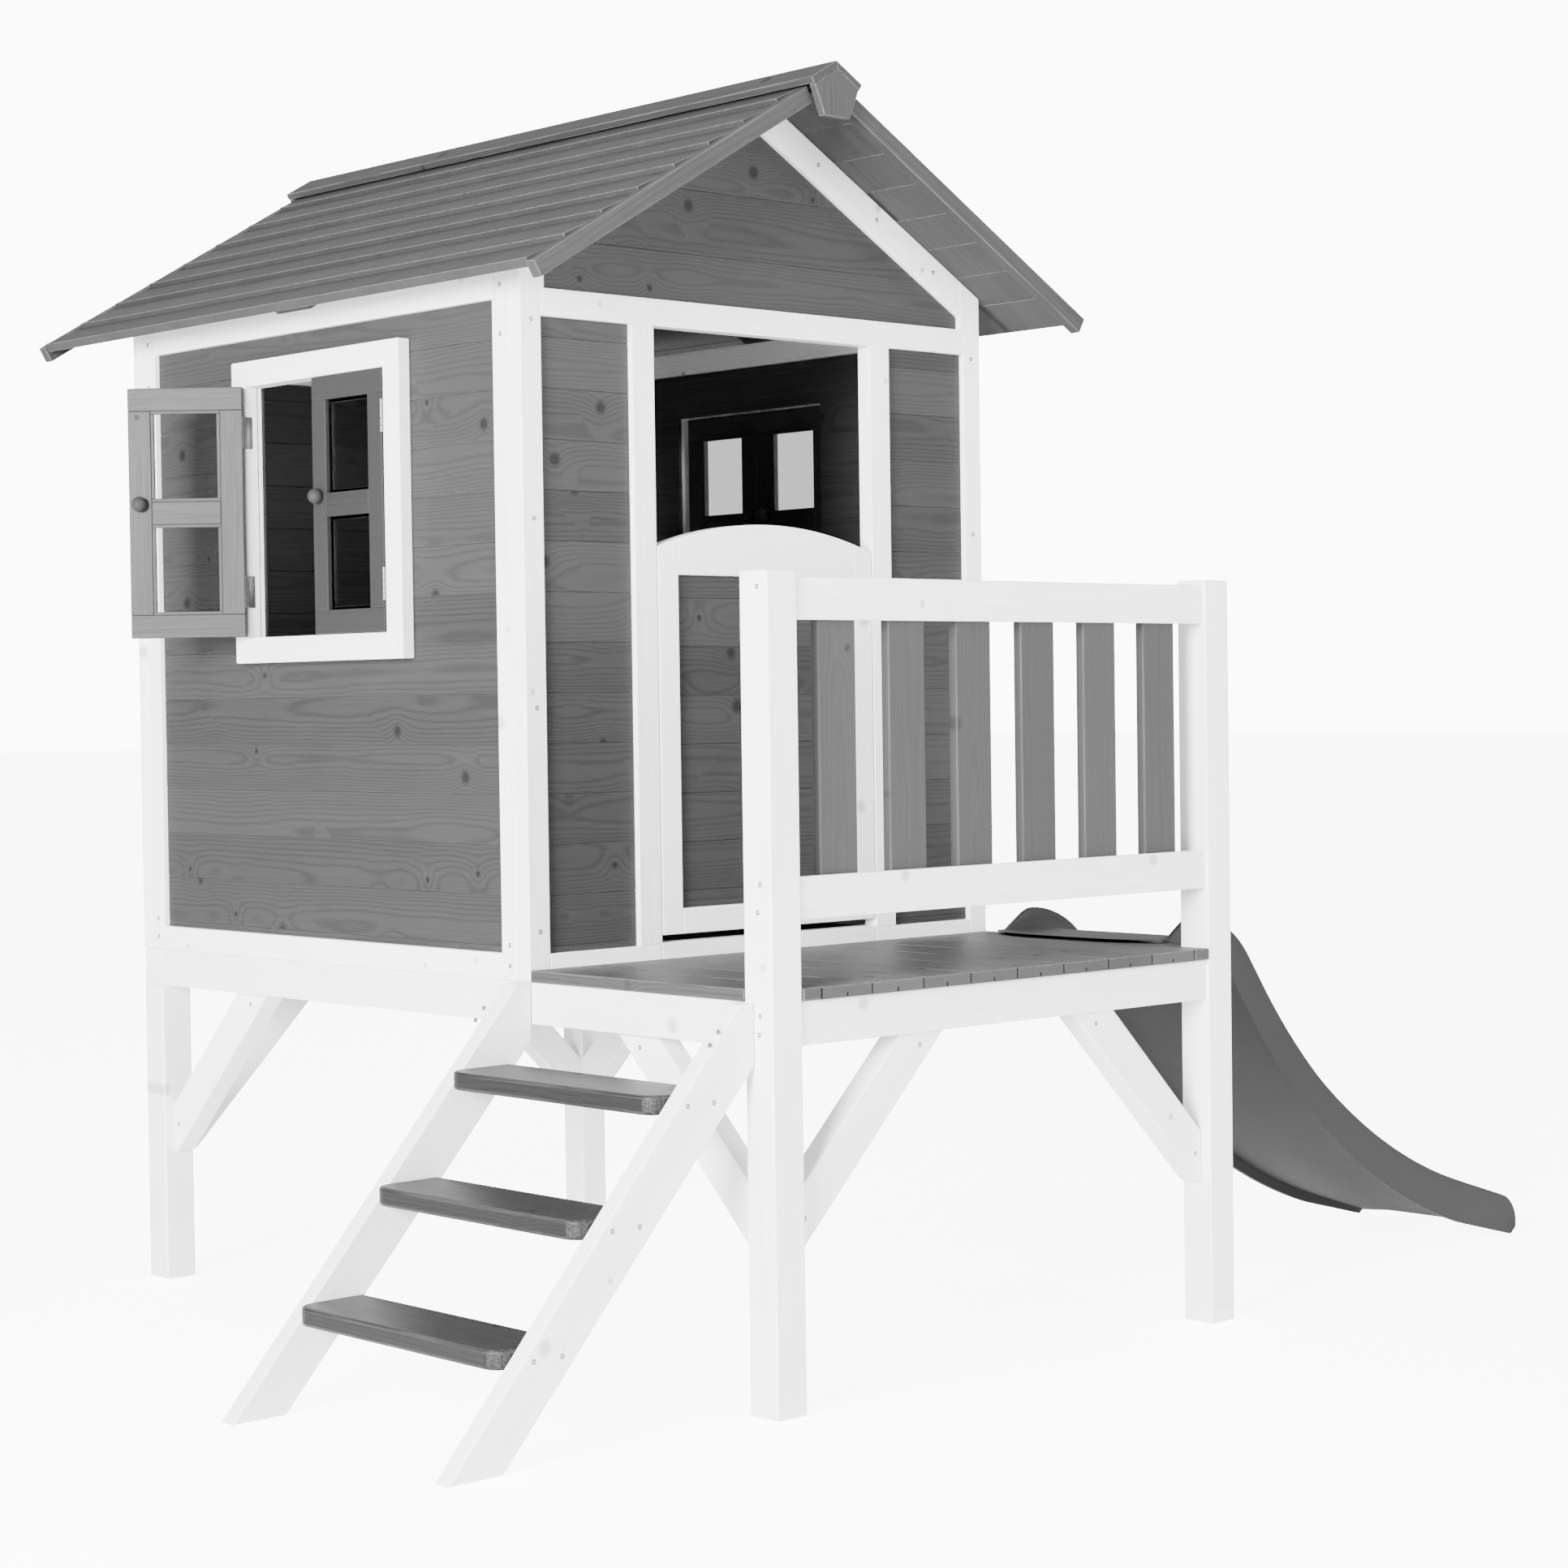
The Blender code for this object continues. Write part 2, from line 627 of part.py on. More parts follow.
def roof_outline():
    """The boards' section: each laps over the head of the one below it."""
    run_length = MIDDLE - RIDGE_GAP + EAVE_REACH
    step = run_length / ROOF_BOARDS
    points = [(-EAVE_REACH, rafter_line(-EAVE_REACH))]
    for board in range(ROOF_BOARDS):
        start = -EAVE_REACH + board * step
        points.append(roof_point(start, BUTT_THICK))
        points.append(roof_point(start + step, HEAD_THICK))
    points.append((MIDDLE - RIDGE_GAP, rafter_line(MIDDLE - RIDGE_GAP)))
    return points


def barge_outline():
    top_run = MIDDLE - BARGE_TOP_GAP
    foot_run = -EAVE_REACH - BARGE_PAST
    return [
        roof_point(foot_run, BARGE_RISE),
        roof_point(foot_run, -BARGE_TOE),
        roof_point(-BATTEN_REACH / 2, -BARGE_DROP),
        roof_point(top_run, -BARGE_DROP),
        roof_point(top_run, BARGE_RISE),
    ]


def batten_outline():
    return [
        roof_point(-BATTEN_REACH, JOIN),
        roof_point(-BATTEN_REACH, -BATTEN_THICK),
        roof_point(MIDDLE - BATTEN_TOP_GAP, -BATTEN_THICK),
        roof_point(MIDDLE - BATTEN_TOP_GAP, JOIN),
    ]


def make_roof():
    batten_start = HOUSE_DEPTH / 2 - BATTEN_WIDTH / 2
    boards_start = ROOF_FRONT + BARGE_DEPTH / 2
    boards_length = ROOF_BACK - ROOF_FRONT - BARGE_DEPTH
    for side, turn in (("left", list), ("right", mirrored)):
        boards = plate(
            "roof_" + side, "across", boards_start, boards_length, [turn(roof_outline())], grey_roof
        )
        parts = [
            ("barge_front", ROOF_FRONT, BARGE_DEPTH, barge_outline()),
            ("barge_back", ROOF_BACK - BARGE_DEPTH, BARGE_DEPTH, barge_outline()),
            ("batten", batten_start, BATTEN_WIDTH, batten_outline()),
        ]
        helpers = [
            plate(name + "_" + side, "across", start, thick, [turn(outline)], grey_roof, helper=True)
            for name, start, thick, outline in parts
        ]
        join(boards, helpers)


def make_ridge():
    lean = CAP_THICK * LEAN
    run = CAP_WIDTH * math.cos(ROOF_PITCH)
    seam = MIDDLE - FIT / 2
    outer_foot = (seam - run, CAP_TOP - run * SLOPE)
    inner_foot = (
        outer_foot[0] + CAP_THICK * math.sin(ROOF_PITCH),
        outer_foot[1] - CAP_THICK * math.cos(ROOF_PITCH),
    )
    board = [(seam, CAP_TOP), outer_foot, inner_foot, (seam, CAP_TOP - lean)]
    length = CAP_BACK - CAP_FRONT
    plate("ridge_cap_left", "across", CAP_FRONT, length, [board], grey_roof)
    plate("ridge_cap_right", "across", CAP_FRONT, length, [mirrored(board)], grey_roof)
    peak = CAP_TOP - lean - FIT * LEAN
    shoulder = MIDDLE - PLATE_SHOULDER
    half = [(MIDDLE - PLATE_FOOT, peak - PLATE_HEIGHT), (shoulder, peak - PLATE_SHOULDER * SLOPE)]
    pentagon = [half + [(MIDDLE, peak)] + mirrored(half)[::-1]]
    plate("ridge_plate_front", "across", CAP_FRONT, PLATE_THICK, pentagon, grey_roof)
    plate("ridge_plate_back", "across", CAP_BACK - PLATE_THICK, PLATE_THICK, pentagon, grey_roof)


# ---------------------------------------------------------------- railing
def make_railing():
    front = -VERANDA_DEPTH + FRONT_SET_IN
    back = front + RAIL_THICK
    lip = front + RAIL_LIP
    start = POST + FIT
    length = HOUSE_WIDTH - 2 * start
    rebate_top = TOP_RAIL_BOTTOM + REBATE
    rail_top = TOP_RAIL_BOTTOM + RAIL_HEIGHT
    top = [
        (front, TOP_RAIL_BOTTOM),
        (lip, TOP_RAIL_BOTTOM),
        (lip, rebate_top),
        (back, rebate_top),
        (back, rail_top),
        (front, rail_top),
    ]
    bottom_top = BOTTOM_RAIL_BOTTOM + RAIL_HEIGHT
    rebate_bottom = bottom_top - REBATE
    bottom = [
        (front, BOTTOM_RAIL_BOTTOM),
        (back, BOTTOM_RAIL_BOTTOM),
        (back, rebate_bottom),
        (lip, rebate_bottom),
        (lip, bottom_top),
        (front, bottom_top),
    ]
    plate("rail_top", "along", start, length, [top], white)
    plate("rail_bottom", "along", start, length, [bottom], white)
    first = MIDDLE - BALUSTER_PITCH * (BALUSTERS - 1) / 2
    for number in range(BALUSTERS):
        centre = first + BALUSTER_PITCH * number
        box(
            f"baluster_{number + 1}",
            (centre - BALUSTER_WIDTH / 2, lip + FIT, rebate_bottom + FIT),
            (centre + BALUSTER_WIDTH / 2, back, rebate_top - FIT),
            grey_trim,
        )


# ---------------------------------------------------------------- ladder
def make_ladder():
    top = BEAM_TOP - FIT
    face = -FIT
    outline = [
        (face, BEAM_TOP - STRINGER_CUT),
        (face, top),
        (-STRINGER_FLAT, top),
        (-LADDER_REACH, 0.0),
        (-LADDER_REACH + STRINGER_FOOT, 0.0),
    ]
    near = -VERANDA_DEPTH + POST - STRINGER_FROM_POST
    far = STRINGER_LAP - STRINGER_THICK
    # A plate that faces along -y starts at its front face.
    plate("ladder_stringer_front", "across", near, STRINGER_THICK, [outline], white)
    plate("ladder_stringer_rear", "across", far, STRINGER_THICK, [outline], white)
    front_end = near + STRINGER_THICK + FIT
    rear_end = far - FIT
    rake = (LADDER_REACH - STRINGER_FLAT) / top
    rise = (DECK_TOP - TOP_STEP) / TREADS
    corner_steps = 4
    for number in range(TREADS):
        height = rise * (number + 1)
        nose = -LADDER_REACH + rake * height - TREAD_NOSING
        corners = []
        for step in range(corner_steps + 1):
            angle = math.pi / 2 * step / corner_steps
            inset = TREAD_CORNER * (1 - math.cos(angle))
            along = TREAD_CORNER * (1 - math.sin(angle))
            corners.append((nose + inset, front_end + along))
        far_corners = [(x, front_end + rear_end - y) for x, y in corners[::-1]]
        back = nose + TREAD_DEPTH
        tread = [(back, front_end), (back, rear_end)] + far_corners + corners
        plate(f"ladder_tread_{number + 1}", "flat", height - TREAD_THICK, TREAD_THICK, [tread], grey_tread)


# ---------------------------------------------------------------- slide
def slide_section(x, z, angle, travelled, total):
    """The chute's section at one place, as (across, x, z) all round, outside first."""
    share = travelled / total
    half_top = SLIDE_TOP_HALF
    half_low = SLIDE_TOP_HALF + (SLIDE_FOOT_HALF - SLIDE_TOP_HALF) * share
    start = HOUSE_WIDTH - SLIDE_LIP_REACH + SLIDE_ENTRY_BOW
    end = slide_path()[-1][0]
    rise_in = min(1.0, max(0.0, (x - start) / (HOUSE_WIDTH + SLIDE_CREST_OUT - start)))
    rise_in = rise_in * rise_in * (3 - 2 * rise_in)
    growth = min(1.0, max(0.0, (share - SLIDE_GROWTH_START) / SLIDE_GROWTH_SPAN))
    wall = SLIDE_WALL_HEIGHT + (SLIDE_END_WALL - SLIDE_WALL_HEIGHT) * growth
    to_end = end - x
    rounding = min(1.0, to_end / SLIDE_END_WALL)
    fall = math.sqrt(max(0.0, 1 - (1 - rounding) ** 2))
    wall *= rise_in * fall
    past_edge = min(1.0, max(0.0, (x - HOUSE_WIDTH - SLIDE_EDGE_GAP) / SLIDE_SKIRT))
    skirt = (SLIDE_SKIRT - SLIDE_LIP) * past_edge
    from_foot = min(1.0, to_end / SLIDE_FOOT_RUN)
    foot_skirt = SLIDE_FOOT_HEIGHT * math.cos(angle)
    skirt_down = foot_skirt + (SLIDE_LIP + skirt - foot_skirt) * from_foot
    under = min(skirt_down, SLIDE_LIP + (SLIDE_SKIN - SLIDE_LIP) * past_edge)

    up_x, up_z = math.sin(angle), math.cos(angle)

    def at(across, up):
        point_x = x + up_x * up
        share_in = min(1.0, abs(across) / SLIDE_TOP_HALF)
        if x < HOUSE_WIDTH:
            lip_left = (HOUSE_WIDTH - x) / SLIDE_LIP_REACH
            point_x += SLIDE_ENTRY_BOW * share_in**4 * lip_left
        if to_end == 0.0:
            point_x += SLIDE_FOOT_BOW * max(0.0, 1 - (across / SLIDE_FOOT_CORNER) ** 2)
        return across, point_x, z + up_z * up

    inner_top = half_top - SLIDE_WALL
    inner_low = half_low - SLIDE_WALL
    cove_rise = min(SLIDE_COVE_RISE, wall)
    floor_half = inner_low - SLIDE_COVE
    half = [(half_low, -skirt_down), (half_top, wall), (inner_top, wall)]
    half += [(inner_low - SLIDE_COVE * part, cove_rise * height) for part, height in COVE_CURVE]
    half += [(floor_half * part, 0.0) for part in FLOOR_POINTS]
    below = [(floor_half * part, -under) for part in FLOOR_POINTS[::-1]]
    below += [(inner_low - SLIDE_WALL_LEAN, -under), (inner_low, -skirt_down)]
    right = [at(across, up) for across, up in half]
    left = [at(-across, up) for across, up in half[::-1]]
    under_left = [at(-across, up) for across, up in below[::-1]]
    under_right = [at(across, up) for across, up in below]
    return right + [at(0.0, 0.0)] + left, under_left + under_right


def make_slide():
    path = slide_path()
    lengths = [0.0]
    for first, second in zip(path, path[1:]):
        lengths.append(lengths[-1] + math.hypot(second[0] - first[0], second[1] - first[1]))
    bm = bmesh.new()
    rings = []
    for (x, z, angle), travelled in zip(path, lengths):
        above, below = slide_section(x, z, angle, travelled, lengths[-1])
        ring = [bm.verts.new((point_x, across, height)) for across, point_x, height in above + below]
        rings.append(ring)
    count = len(rings[0])
    for first, second in zip(rings, rings[1:]):
        for number in range(count):
            after = (number + 1) % count
            bm.faces.new((first[number], first[after], second[after], second[number]))
    bm.faces.new(rings[0][::-1])
    bm.faces.new(rings[-1])
    bmesh.ops.triangulate(bm, faces=bm.faces[:])
    slide = add_object("slide", bm, plastic, (0.0, SLIDE_MIDDLE, 0.0))
    slide.data.shade_smooth()
    slide.data.set_sharp_from_angle(angle=math.radians(35))


clear_scene()
house = bpy.data.objects.new("playhouse", None)
house.location = (-(LEFT_END + RIGHT_END) / 2, -(FRONT_END + BACK_END) / 2, 0.0)
bpy.context.scene.collection.objects.link(house)

white = paint("white stain", (0.86, 0.86, 0.85), 0.60)
grey_wall = paint("grey stain", (0.19, 0.19, 0.19), 0.65)
grey_deck = paint("grey deck stain", (0.26, 0.26, 0.26), 0.70)
grey_trim = paint("grey trim stain", (0.24, 0.24, 0.24), 0.60)
grey_tread = paint("dark tread stain", (0.14, 0.14, 0.14), 0.60)
grey_roof = paint("roof stain", (0.17, 0.17, 0.17), 0.70)
black = paint("black knob", (0.02, 0.02, 0.02), 0.45)
plastic = paint("moulded plastic", (0.10, 0.10, 0.10), 0.40)

make_legs()
make_braces()
make_beams()
make_floors()
make_gable_walls()
make_side_walls()
make_shutters()
make_door()
make_roof()
make_ridge()
make_railing()
make_ladder()
make_slide()
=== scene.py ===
# A timber playhouse on legs, dressed for the studio: every board cut, rounded and stained.
import json
import math
import random

import bmesh
import bpy
from mathutils import Euler, Matrix, Vector


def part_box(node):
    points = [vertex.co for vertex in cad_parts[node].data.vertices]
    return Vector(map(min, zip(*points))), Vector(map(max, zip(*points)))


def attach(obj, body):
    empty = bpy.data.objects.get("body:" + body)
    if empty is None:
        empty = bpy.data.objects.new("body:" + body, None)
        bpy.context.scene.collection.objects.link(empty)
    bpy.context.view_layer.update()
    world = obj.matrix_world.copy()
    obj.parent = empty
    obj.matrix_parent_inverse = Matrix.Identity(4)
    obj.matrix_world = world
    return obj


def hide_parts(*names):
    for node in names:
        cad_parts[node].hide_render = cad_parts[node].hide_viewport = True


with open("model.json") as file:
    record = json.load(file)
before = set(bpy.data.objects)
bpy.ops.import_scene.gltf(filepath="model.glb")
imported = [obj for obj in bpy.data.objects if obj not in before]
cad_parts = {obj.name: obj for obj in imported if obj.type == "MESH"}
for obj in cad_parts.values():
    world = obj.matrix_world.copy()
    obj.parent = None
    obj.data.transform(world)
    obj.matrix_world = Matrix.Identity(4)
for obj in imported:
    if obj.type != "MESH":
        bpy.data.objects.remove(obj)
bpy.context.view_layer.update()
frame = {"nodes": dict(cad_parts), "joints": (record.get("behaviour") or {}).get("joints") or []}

dice = random.Random(41)

# The house's own corner: its left wall's outer face, its front wall's outer face
wallLow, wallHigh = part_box("wall_frame_front")
rearLow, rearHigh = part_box("wall_frame_back")
house = {
    "left": wallLow.x,
    "front": wallLow.y,
    "width": wallHigh.x - wallLow.x,
    "depth": rearHigh.y - wallLow.y,
    "base": wallLow.z,
    "pitch": math.radians(30),
    "gap": 0.0003,
}
slope = math.tan(house["pitch"])
lean = 1 / math.cos(house["pitch"])
middle = house["width"] / 2
rafterFoot = wallHigh.z - slope * middle
origin = Vector((house["left"], house["front"], 0.0))


class Wire:
    # A socket that can be added, multiplied and so on with numbers or with others
    def __init__(self, graph, socket):
        self.graph = graph
        self.socket = socket

    def sum(self, operation, first, second=0.0):
        node = self.graph.add("ShaderNodeMath", {"operation": operation}, {0: first, 1: second})
        return self.graph.out(node)

    def __add__(self, other):
        return self.sum("ADD", self, other)

    def __radd__(self, other):
        return self.sum("ADD", other, self)

    def __sub__(self, other):
        return self.sum("SUBTRACT", self, other)

    def __rsub__(self, other):
        return self.sum("SUBTRACT", other, self)

    def __mul__(self, other):
        return self.sum("MULTIPLY", self, other)

    def __rmul__(self, other):
        return self.sum("MULTIPLY", other, self)

    def __truediv__(self, other):
        return self.sum("DIVIDE", self, other)

    def __rtruediv__(self, other):
        return self.sum("DIVIDE", other, self)

    def __pow__(self, other):
        return self.sum("POWER", self, other)


class Graph:
    # One material's nodes
    def __init__(self, name):
        self.material = bpy.data.materials.new(name)
        self.material.use_nodes = True
        self.tree = self.material.node_tree
        self.tree.nodes.clear()

    def add(self, kind, settings=None, sockets=None):
        node = self.tree.nodes.new(kind)
        for key, value in (settings or {}).items():
            setattr(node, key, value)
        for key, value in (sockets or {}).items():
            if isinstance(value, Wire):
                self.tree.links.new(value.socket, node.inputs[key])
            else:
                node.inputs[key].default_value = value
        return node

    def out(self, node, name=0):
        return Wire(self, node.outputs[name])

    def noise(self, vector, scale, detail=2.0, roughness=0.5):
        sockets = {"Vector": vector, "Scale": scale, "Detail": detail, "Roughness": roughness}
        return self.out(self.add("ShaderNodeTexNoise", {}, sockets))

    def ramp(self, value, low, high):
        settings = {"interpolation_type": "SMOOTHSTEP", "clamp": True}
        return self.out(self.add("ShaderNodeMapRange", settings, {0: value, 1: low, 2: high}))

    def stretch(self, vector, factors):
        node = self.add("ShaderNodeVectorMath", {"operation": "MULTIPLY"}, {0: vector, 1: factors})
        return self.out(node)

    def blend(self, share, first, second):
        settings = {"data_type": "RGBA", "clamp_factor": True}
        return self.out(self.add("ShaderNodeMix", settings, {0: share, 6: first, 7: second}), 2)

    def bump(self, height, strength, distance):
        sockets = {"Strength": strength, "Distance": distance, "Height": height}
        return self.out(self.add("ShaderNodeBump", {}, sockets))

    def finish(self, settings, links):
        shader = self.add("ShaderNodeBsdfPrincipled", {}, {**settings, **links})
        self.add("ShaderNodeOutputMaterial", {}, {0: self.out(shader)})
        return self.material


def grey(value):
    return (value, value, value, 1.0)


# light and dark are the stain over early and late wood, knot its colour over knots; the eased edges
# take a paler colour that stands for wear, and on the roof it is also a painted highlight along the
# board butts
woodFinishes = {
    "whiteStain": {
        "light": 0.92, "dark": 0.66, "knot": 0.42, "edgeWearAndHighlight": 0.94, "rough": 0.52,
        "ring": 0.20, "fibre": 0.30, "cloud": 0.40, "knots": 0.30, "bump": 0.25, "pitch": 0.0042,
    },
    "wallStain": {
        "light": 0.034, "dark": 0.016, "knot": 0.007, "edgeWearAndHighlight": 0.046, "rough": 0.50,
        "ring": 0.42, "fibre": 0.30, "cloud": 0.34, "knots": 0.42, "bump": 0.35, "pitch": 0.0040,
    },
    "deckStain": {
        "light": 0.058, "dark": 0.029, "knot": 0.014, "edgeWearAndHighlight": 0.12, "rough": 0.50,
        "ring": 0.38, "fibre": 0.36, "cloud": 0.36, "knots": 0.30, "bump": 0.40, "pitch": 0.0042,
    },
    "trimStain": {
        "light": 0.045, "dark": 0.030, "knot": 0.019, "edgeWearAndHighlight": 0.070, "rough": 0.46,
        "ring": 0.24, "fibre": 0.28, "cloud": 0.26, "knots": 0.14, "bump": 0.25, "pitch": 0.0042,
    },
    "treadStain": {
        "light": 0.013, "dark": 0.006, "knot": 0.004, "edgeWearAndHighlight": 0.05, "rough": 0.44,
        "ring": 0.38, "fibre": 0.40, "cloud": 0.40, "knots": 0.30, "bump": 0.40, "pitch": 0.0040,
    },
    "shutterStain": {
        "light": 0.024, "dark": 0.016, "knot": 0.010, "edgeWearAndHighlight": 0.04, "rough": 0.46,
        "ring": 0.24, "fibre": 0.28, "cloud": 0.26, "knots": 0.14, "bump": 0.25, "pitch": 0.0042,
    },
    # the roof's pale edge colour is painted highlight along the board butts as well as wear
    "roofStain": {
        "light": 0.040, "dark": 0.019, "knot": 0.009, "edgeWearAndHighlight": 0.12, "rough": 0.55,
        "ring": 0.34, "fibre": 0.40, "cloud": 0.55, "knots": 0.34, "bump": 0.45, "pitch": 0.0044,
    },
}
woodScale = {
    "knotCell": 7.5,        # knots' cells in each metre
    "knotLow": 0.0035,
    "knotHigh": 0.0085,
    "bulge": 0.011,         # how far the rings bow round a knot
    "bulgeFade": 3200.0,
    "waverStretch": (1.9, 10.0, 10.0),
    "fibreStretch": (7.0, 330.0, 330.0),
    "streakStretch": (1.3, 28.0, 28.0),
    "cloud": 6.0,
    "wobble": 0.020,
    "bumpDepth": 0.0007,
    "shine": 0.18,
}


def woodStain(name):
    look = woodFinishes[name]
    g = Graph(name)
    grain = g.out(g.add("ShaderNodeAttribute", {"attribute_name": "grain"}), "Vector")
    tone = g.out(g.add("ShaderNodeAttribute", {"attribute_name": "tone"}), "Fac")
    edgeWearAndHighlight = g.out(g.add("ShaderNodeAttribute", {"attribute_name": "edge"}), "Fac")
    parts = g.add("ShaderNodeSeparateXYZ", {}, {0: grain})
    along = g.out(parts, 0)
    across = g.out(parts, 1)
    deep = g.out(parts, 2)

    # knots: a few cells of a flat pattern, seen where a branch ran through the board
    flat = g.out(g.add("ShaderNodeCombineXYZ", {}, {0: along, 1: across}))
    cells = g.add(
        "ShaderNodeTexVoronoi",
        {"voronoi_dimensions": "2D"},
        {"Vector": flat, "Scale": woodScale["knotCell"], "Randomness": 0.9},
    )
    chance = g.add("ShaderNodeSeparateColor", {}, {0: g.out(cells, "Color")})
    away = g.out(cells, "Distance") / woodScale["knotCell"]
    has = g.ramp(g.out(chance, 0), 1 - look["knots"], 1 - look["knots"] + 0.02)
    reach = woodScale["knotLow"] + g.out(chance, 1) * (woodScale["knotHigh"] - woodScale["knotLow"])
    inside = g.ramp(away / reach, 1.25, 0.75) * has
    rim = g.ramp(away / reach, 1.7, 1.15) * has - inside
    bulge = has / (1 + away * away * woodScale["bulgeFade"]) * woodScale["bulge"]

    # yearly rings round a pith behind the board, bent and wavering along it
    waver = g.noise(g.stretch(grain, woodScale["waverStretch"]), 1.0, 2.0) - 0.5
    radius = (across * across + deep * deep) ** 0.5 + waver * woodScale["wobble"] + bulge
    turns = radius * (2 * math.pi / look["pitch"])
    wave = turns.sum("SINE", turns) * 0.5 + 0.5
    rings = wave ** 3.0

    fibre = g.noise(g.stretch(grain, woodScale["fibreStretch"]), 1.0, 4.0, 0.65)
    streaks = g.noise(g.stretch(grain, woodScale["streakStretch"]), 1.0, 3.0)
    cloud = streaks * 0.6 + g.noise(grain, woodScale["cloud"], 3.0) * 0.4

    shade = 0.22 + rings * look["ring"] + (fibre - 0.5) * look["fibre"] * 1.6
    shade = shade + (cloud - 0.5) * look["cloud"] * 2.0 + (tone - 0.5) * 0.55
    colour = g.blend(shade, grey(look["light"]), grey(look["dark"]))
    colour = g.blend(rim * 0.55, colour, grey(look["dark"] * 0.72))
    colour = g.blend(inside * 0.85, colour, grey(look["knot"]))
    # eased edges turn paler: wear, and on the roof painted highlight along the board butts
    colour = g.blend(edgeWearAndHighlight * g.ramp(fibre, 0.35, 0.6) * 0.6, colour, grey(look["edgeWearAndHighlight"]))

    rough = look["rough"] + (fibre - 0.5) * 0.25 + inside * 0.1
    height = fibre * 0.5 + rings * 0.35 + inside * 0.5
    bump = g.bump(height, look["bump"], woodScale["bumpDepth"])
    return g.finish(
        {"Specular IOR Level": woodScale["shine"]},
        {"Base Color": colour, "Roughness": rough, "Normal": bump},
    )


plasticLook = {
    "colour": 0.014, "pale": 0.020, "scuff": 0.05, "rough": 0.48, "coat": 0.04,
    "orangePeel": 900.0, "scuffStretch": (14.0, 260.0, 14.0),
}


def mouldedPlastic():
    g = Graph("mouldedPlastic")
    place = g.out(g.add("ShaderNodeTexCoord"), "Object")
    cloud = g.noise(place, 5.0, 3.0)
    peel = g.noise(place, plasticLook["orangePeel"], 2.0)
    scuffs = g.ramp(g.noise(g.stretch(place, plasticLook["scuffStretch"]), 1.0, 4.0), 0.60, 0.74)
    colour = g.blend(cloud, grey(plasticLook["colour"]), grey(plasticLook["pale"]))
    colour = g.blend(scuffs * 0.18, colour, grey(plasticLook["scuff"]))
    rough = plasticLook["rough"] + (cloud - 0.5) * 0.12 + scuffs * 0.08
    return g.finish(
        {"Coat Weight": plasticLook["coat"], "Coat Roughness": 0.35, "Specular IOR Level": 0.22},
        {"Base Color": colour, "Roughness": rough, "Normal": g.bump(peel, 0.18, 0.0003)},
    )


knobLook = {"dark": 0.022, "light": 0.034, "cloud": 180.0, "rough": 0.60}


def turnedKnob():
    g = Graph("turnedKnob")
    place = g.out(g.add("ShaderNodeTexCoord"), "Object")
    cloud = g.noise(place, knobLook["cloud"], 3.0)
    colour = g.blend(cloud, grey(knobLook["dark"]), grey(knobLook["light"]))
    rough = knobLook["rough"] + cloud * 0.15
    return g.finish(
        {"Specular IOR Level": 0.2},
        {"Base Color": colour, "Roughness": rough, "Normal": g.bump(cloud, 0.15, 0.0004)},
    )


zincLook = {
    "dark": 0.13, "light": 0.26, "rough": 0.28, "spangle": 420.0,
    "brushStretch": (900.0, 900.0, 60.0),
}


def zincPlate():
    g = Graph("zincPlate")
    place = g.out(g.add("ShaderNodeTexCoord"), "Object")
    spangle = g.noise(place, zincLook["spangle"], 3.0)
    lines = g.noise(g.stretch(place, zincLook["brushStretch"]), 1.0, 2.0)
    colour = g.blend(spangle, grey(zincLook["dark"]), grey(zincLook["light"]))
    rough = zincLook["rough"] + lines * 0.25
    return g.finish(
        {"Metallic": 0.9},
        {"Base Color": colour, "Roughness": rough, "Normal": g.bump(lines, 0.2, 0.0002)},
    )


paneLook = {"tint": 0.86, "haze": 9.0, "rough": 0.01}


def clearPane():
    g = Graph("clearPane")
    place = g.out(g.add("ShaderNodeTexCoord"), "Object")
    haze = g.noise(place, paneLook["haze"], 1.0)
    return g.finish(
        {"Base Color": grey(paneLook["tint"]), "IOR": 1.0, "Transmission Weight": 1.0},
        {"Roughness": haze * paneLook["rough"]},
    )


finishes = {name: woodStain(name) for name in woodFinishes}
for make in (mouldedPlastic, turnedKnob, zincPlate, clearPane):
    finishes[make.__name__] = make()
print("finishes mixed")


axes = {"x": Vector((1, 0, 0)), "y": Vector((0, 1, 0)), "z": Vector((0, 0, 1))}
meshing = {
    "weld": 0.00002,
    "flat": math.radians(1),       # faces closer than this lie in one plane
    "sharp": math.radians(20),     # edges bent more than this are eased
    "crease": math.radians(38),    # edges bent more than this aren't smoothed over
}


def direction(along):
    return axes[along] if isinstance(along, str) else along


class Bench:
    # Gathers boards and fittings that become one mesh
    def __init__(self):
        self.points, self.faces, self.smooths = [], [], []
        self.grains, self.tones, self.edges = [], [], []

    def take(self, bm, along, deep, rounded=(), smooth=False):
        along = Vector(along).normalized()
        deep = Vector(deep).normalized()
        across = deep.cross(along).normalized()
        centre = sum((vertex.co for vertex in bm.verts), Vector()) / len(bm.verts)
        shift = (dice.uniform(0, 40), dice.uniform(-0.03, 0.03), dice.uniform(0.025, 0.07))
        tone = dice.uniform(0.0, 1.0)
        first = len(self.points)
        bm.verts.index_update()
        for vertex in bm.verts:
            away = vertex.co - centre
            self.points.append(vertex.co.copy())
            self.grains.append(
                (away.dot(along) + shift[0], away.dot(across) + shift[1], away.dot(deep) + shift[2])
            )
            self.tones.append(tone)
        for face in bm.faces:
            self.faces.append([first + vertex.index for vertex in face.verts])
            self.edges.append(1.0 if face in rounded else 0.0)
            self.smooths.append(smooth)
        bm.free()

    def turn(self, matrix):
        self.points = [matrix @ point for point in self.points]


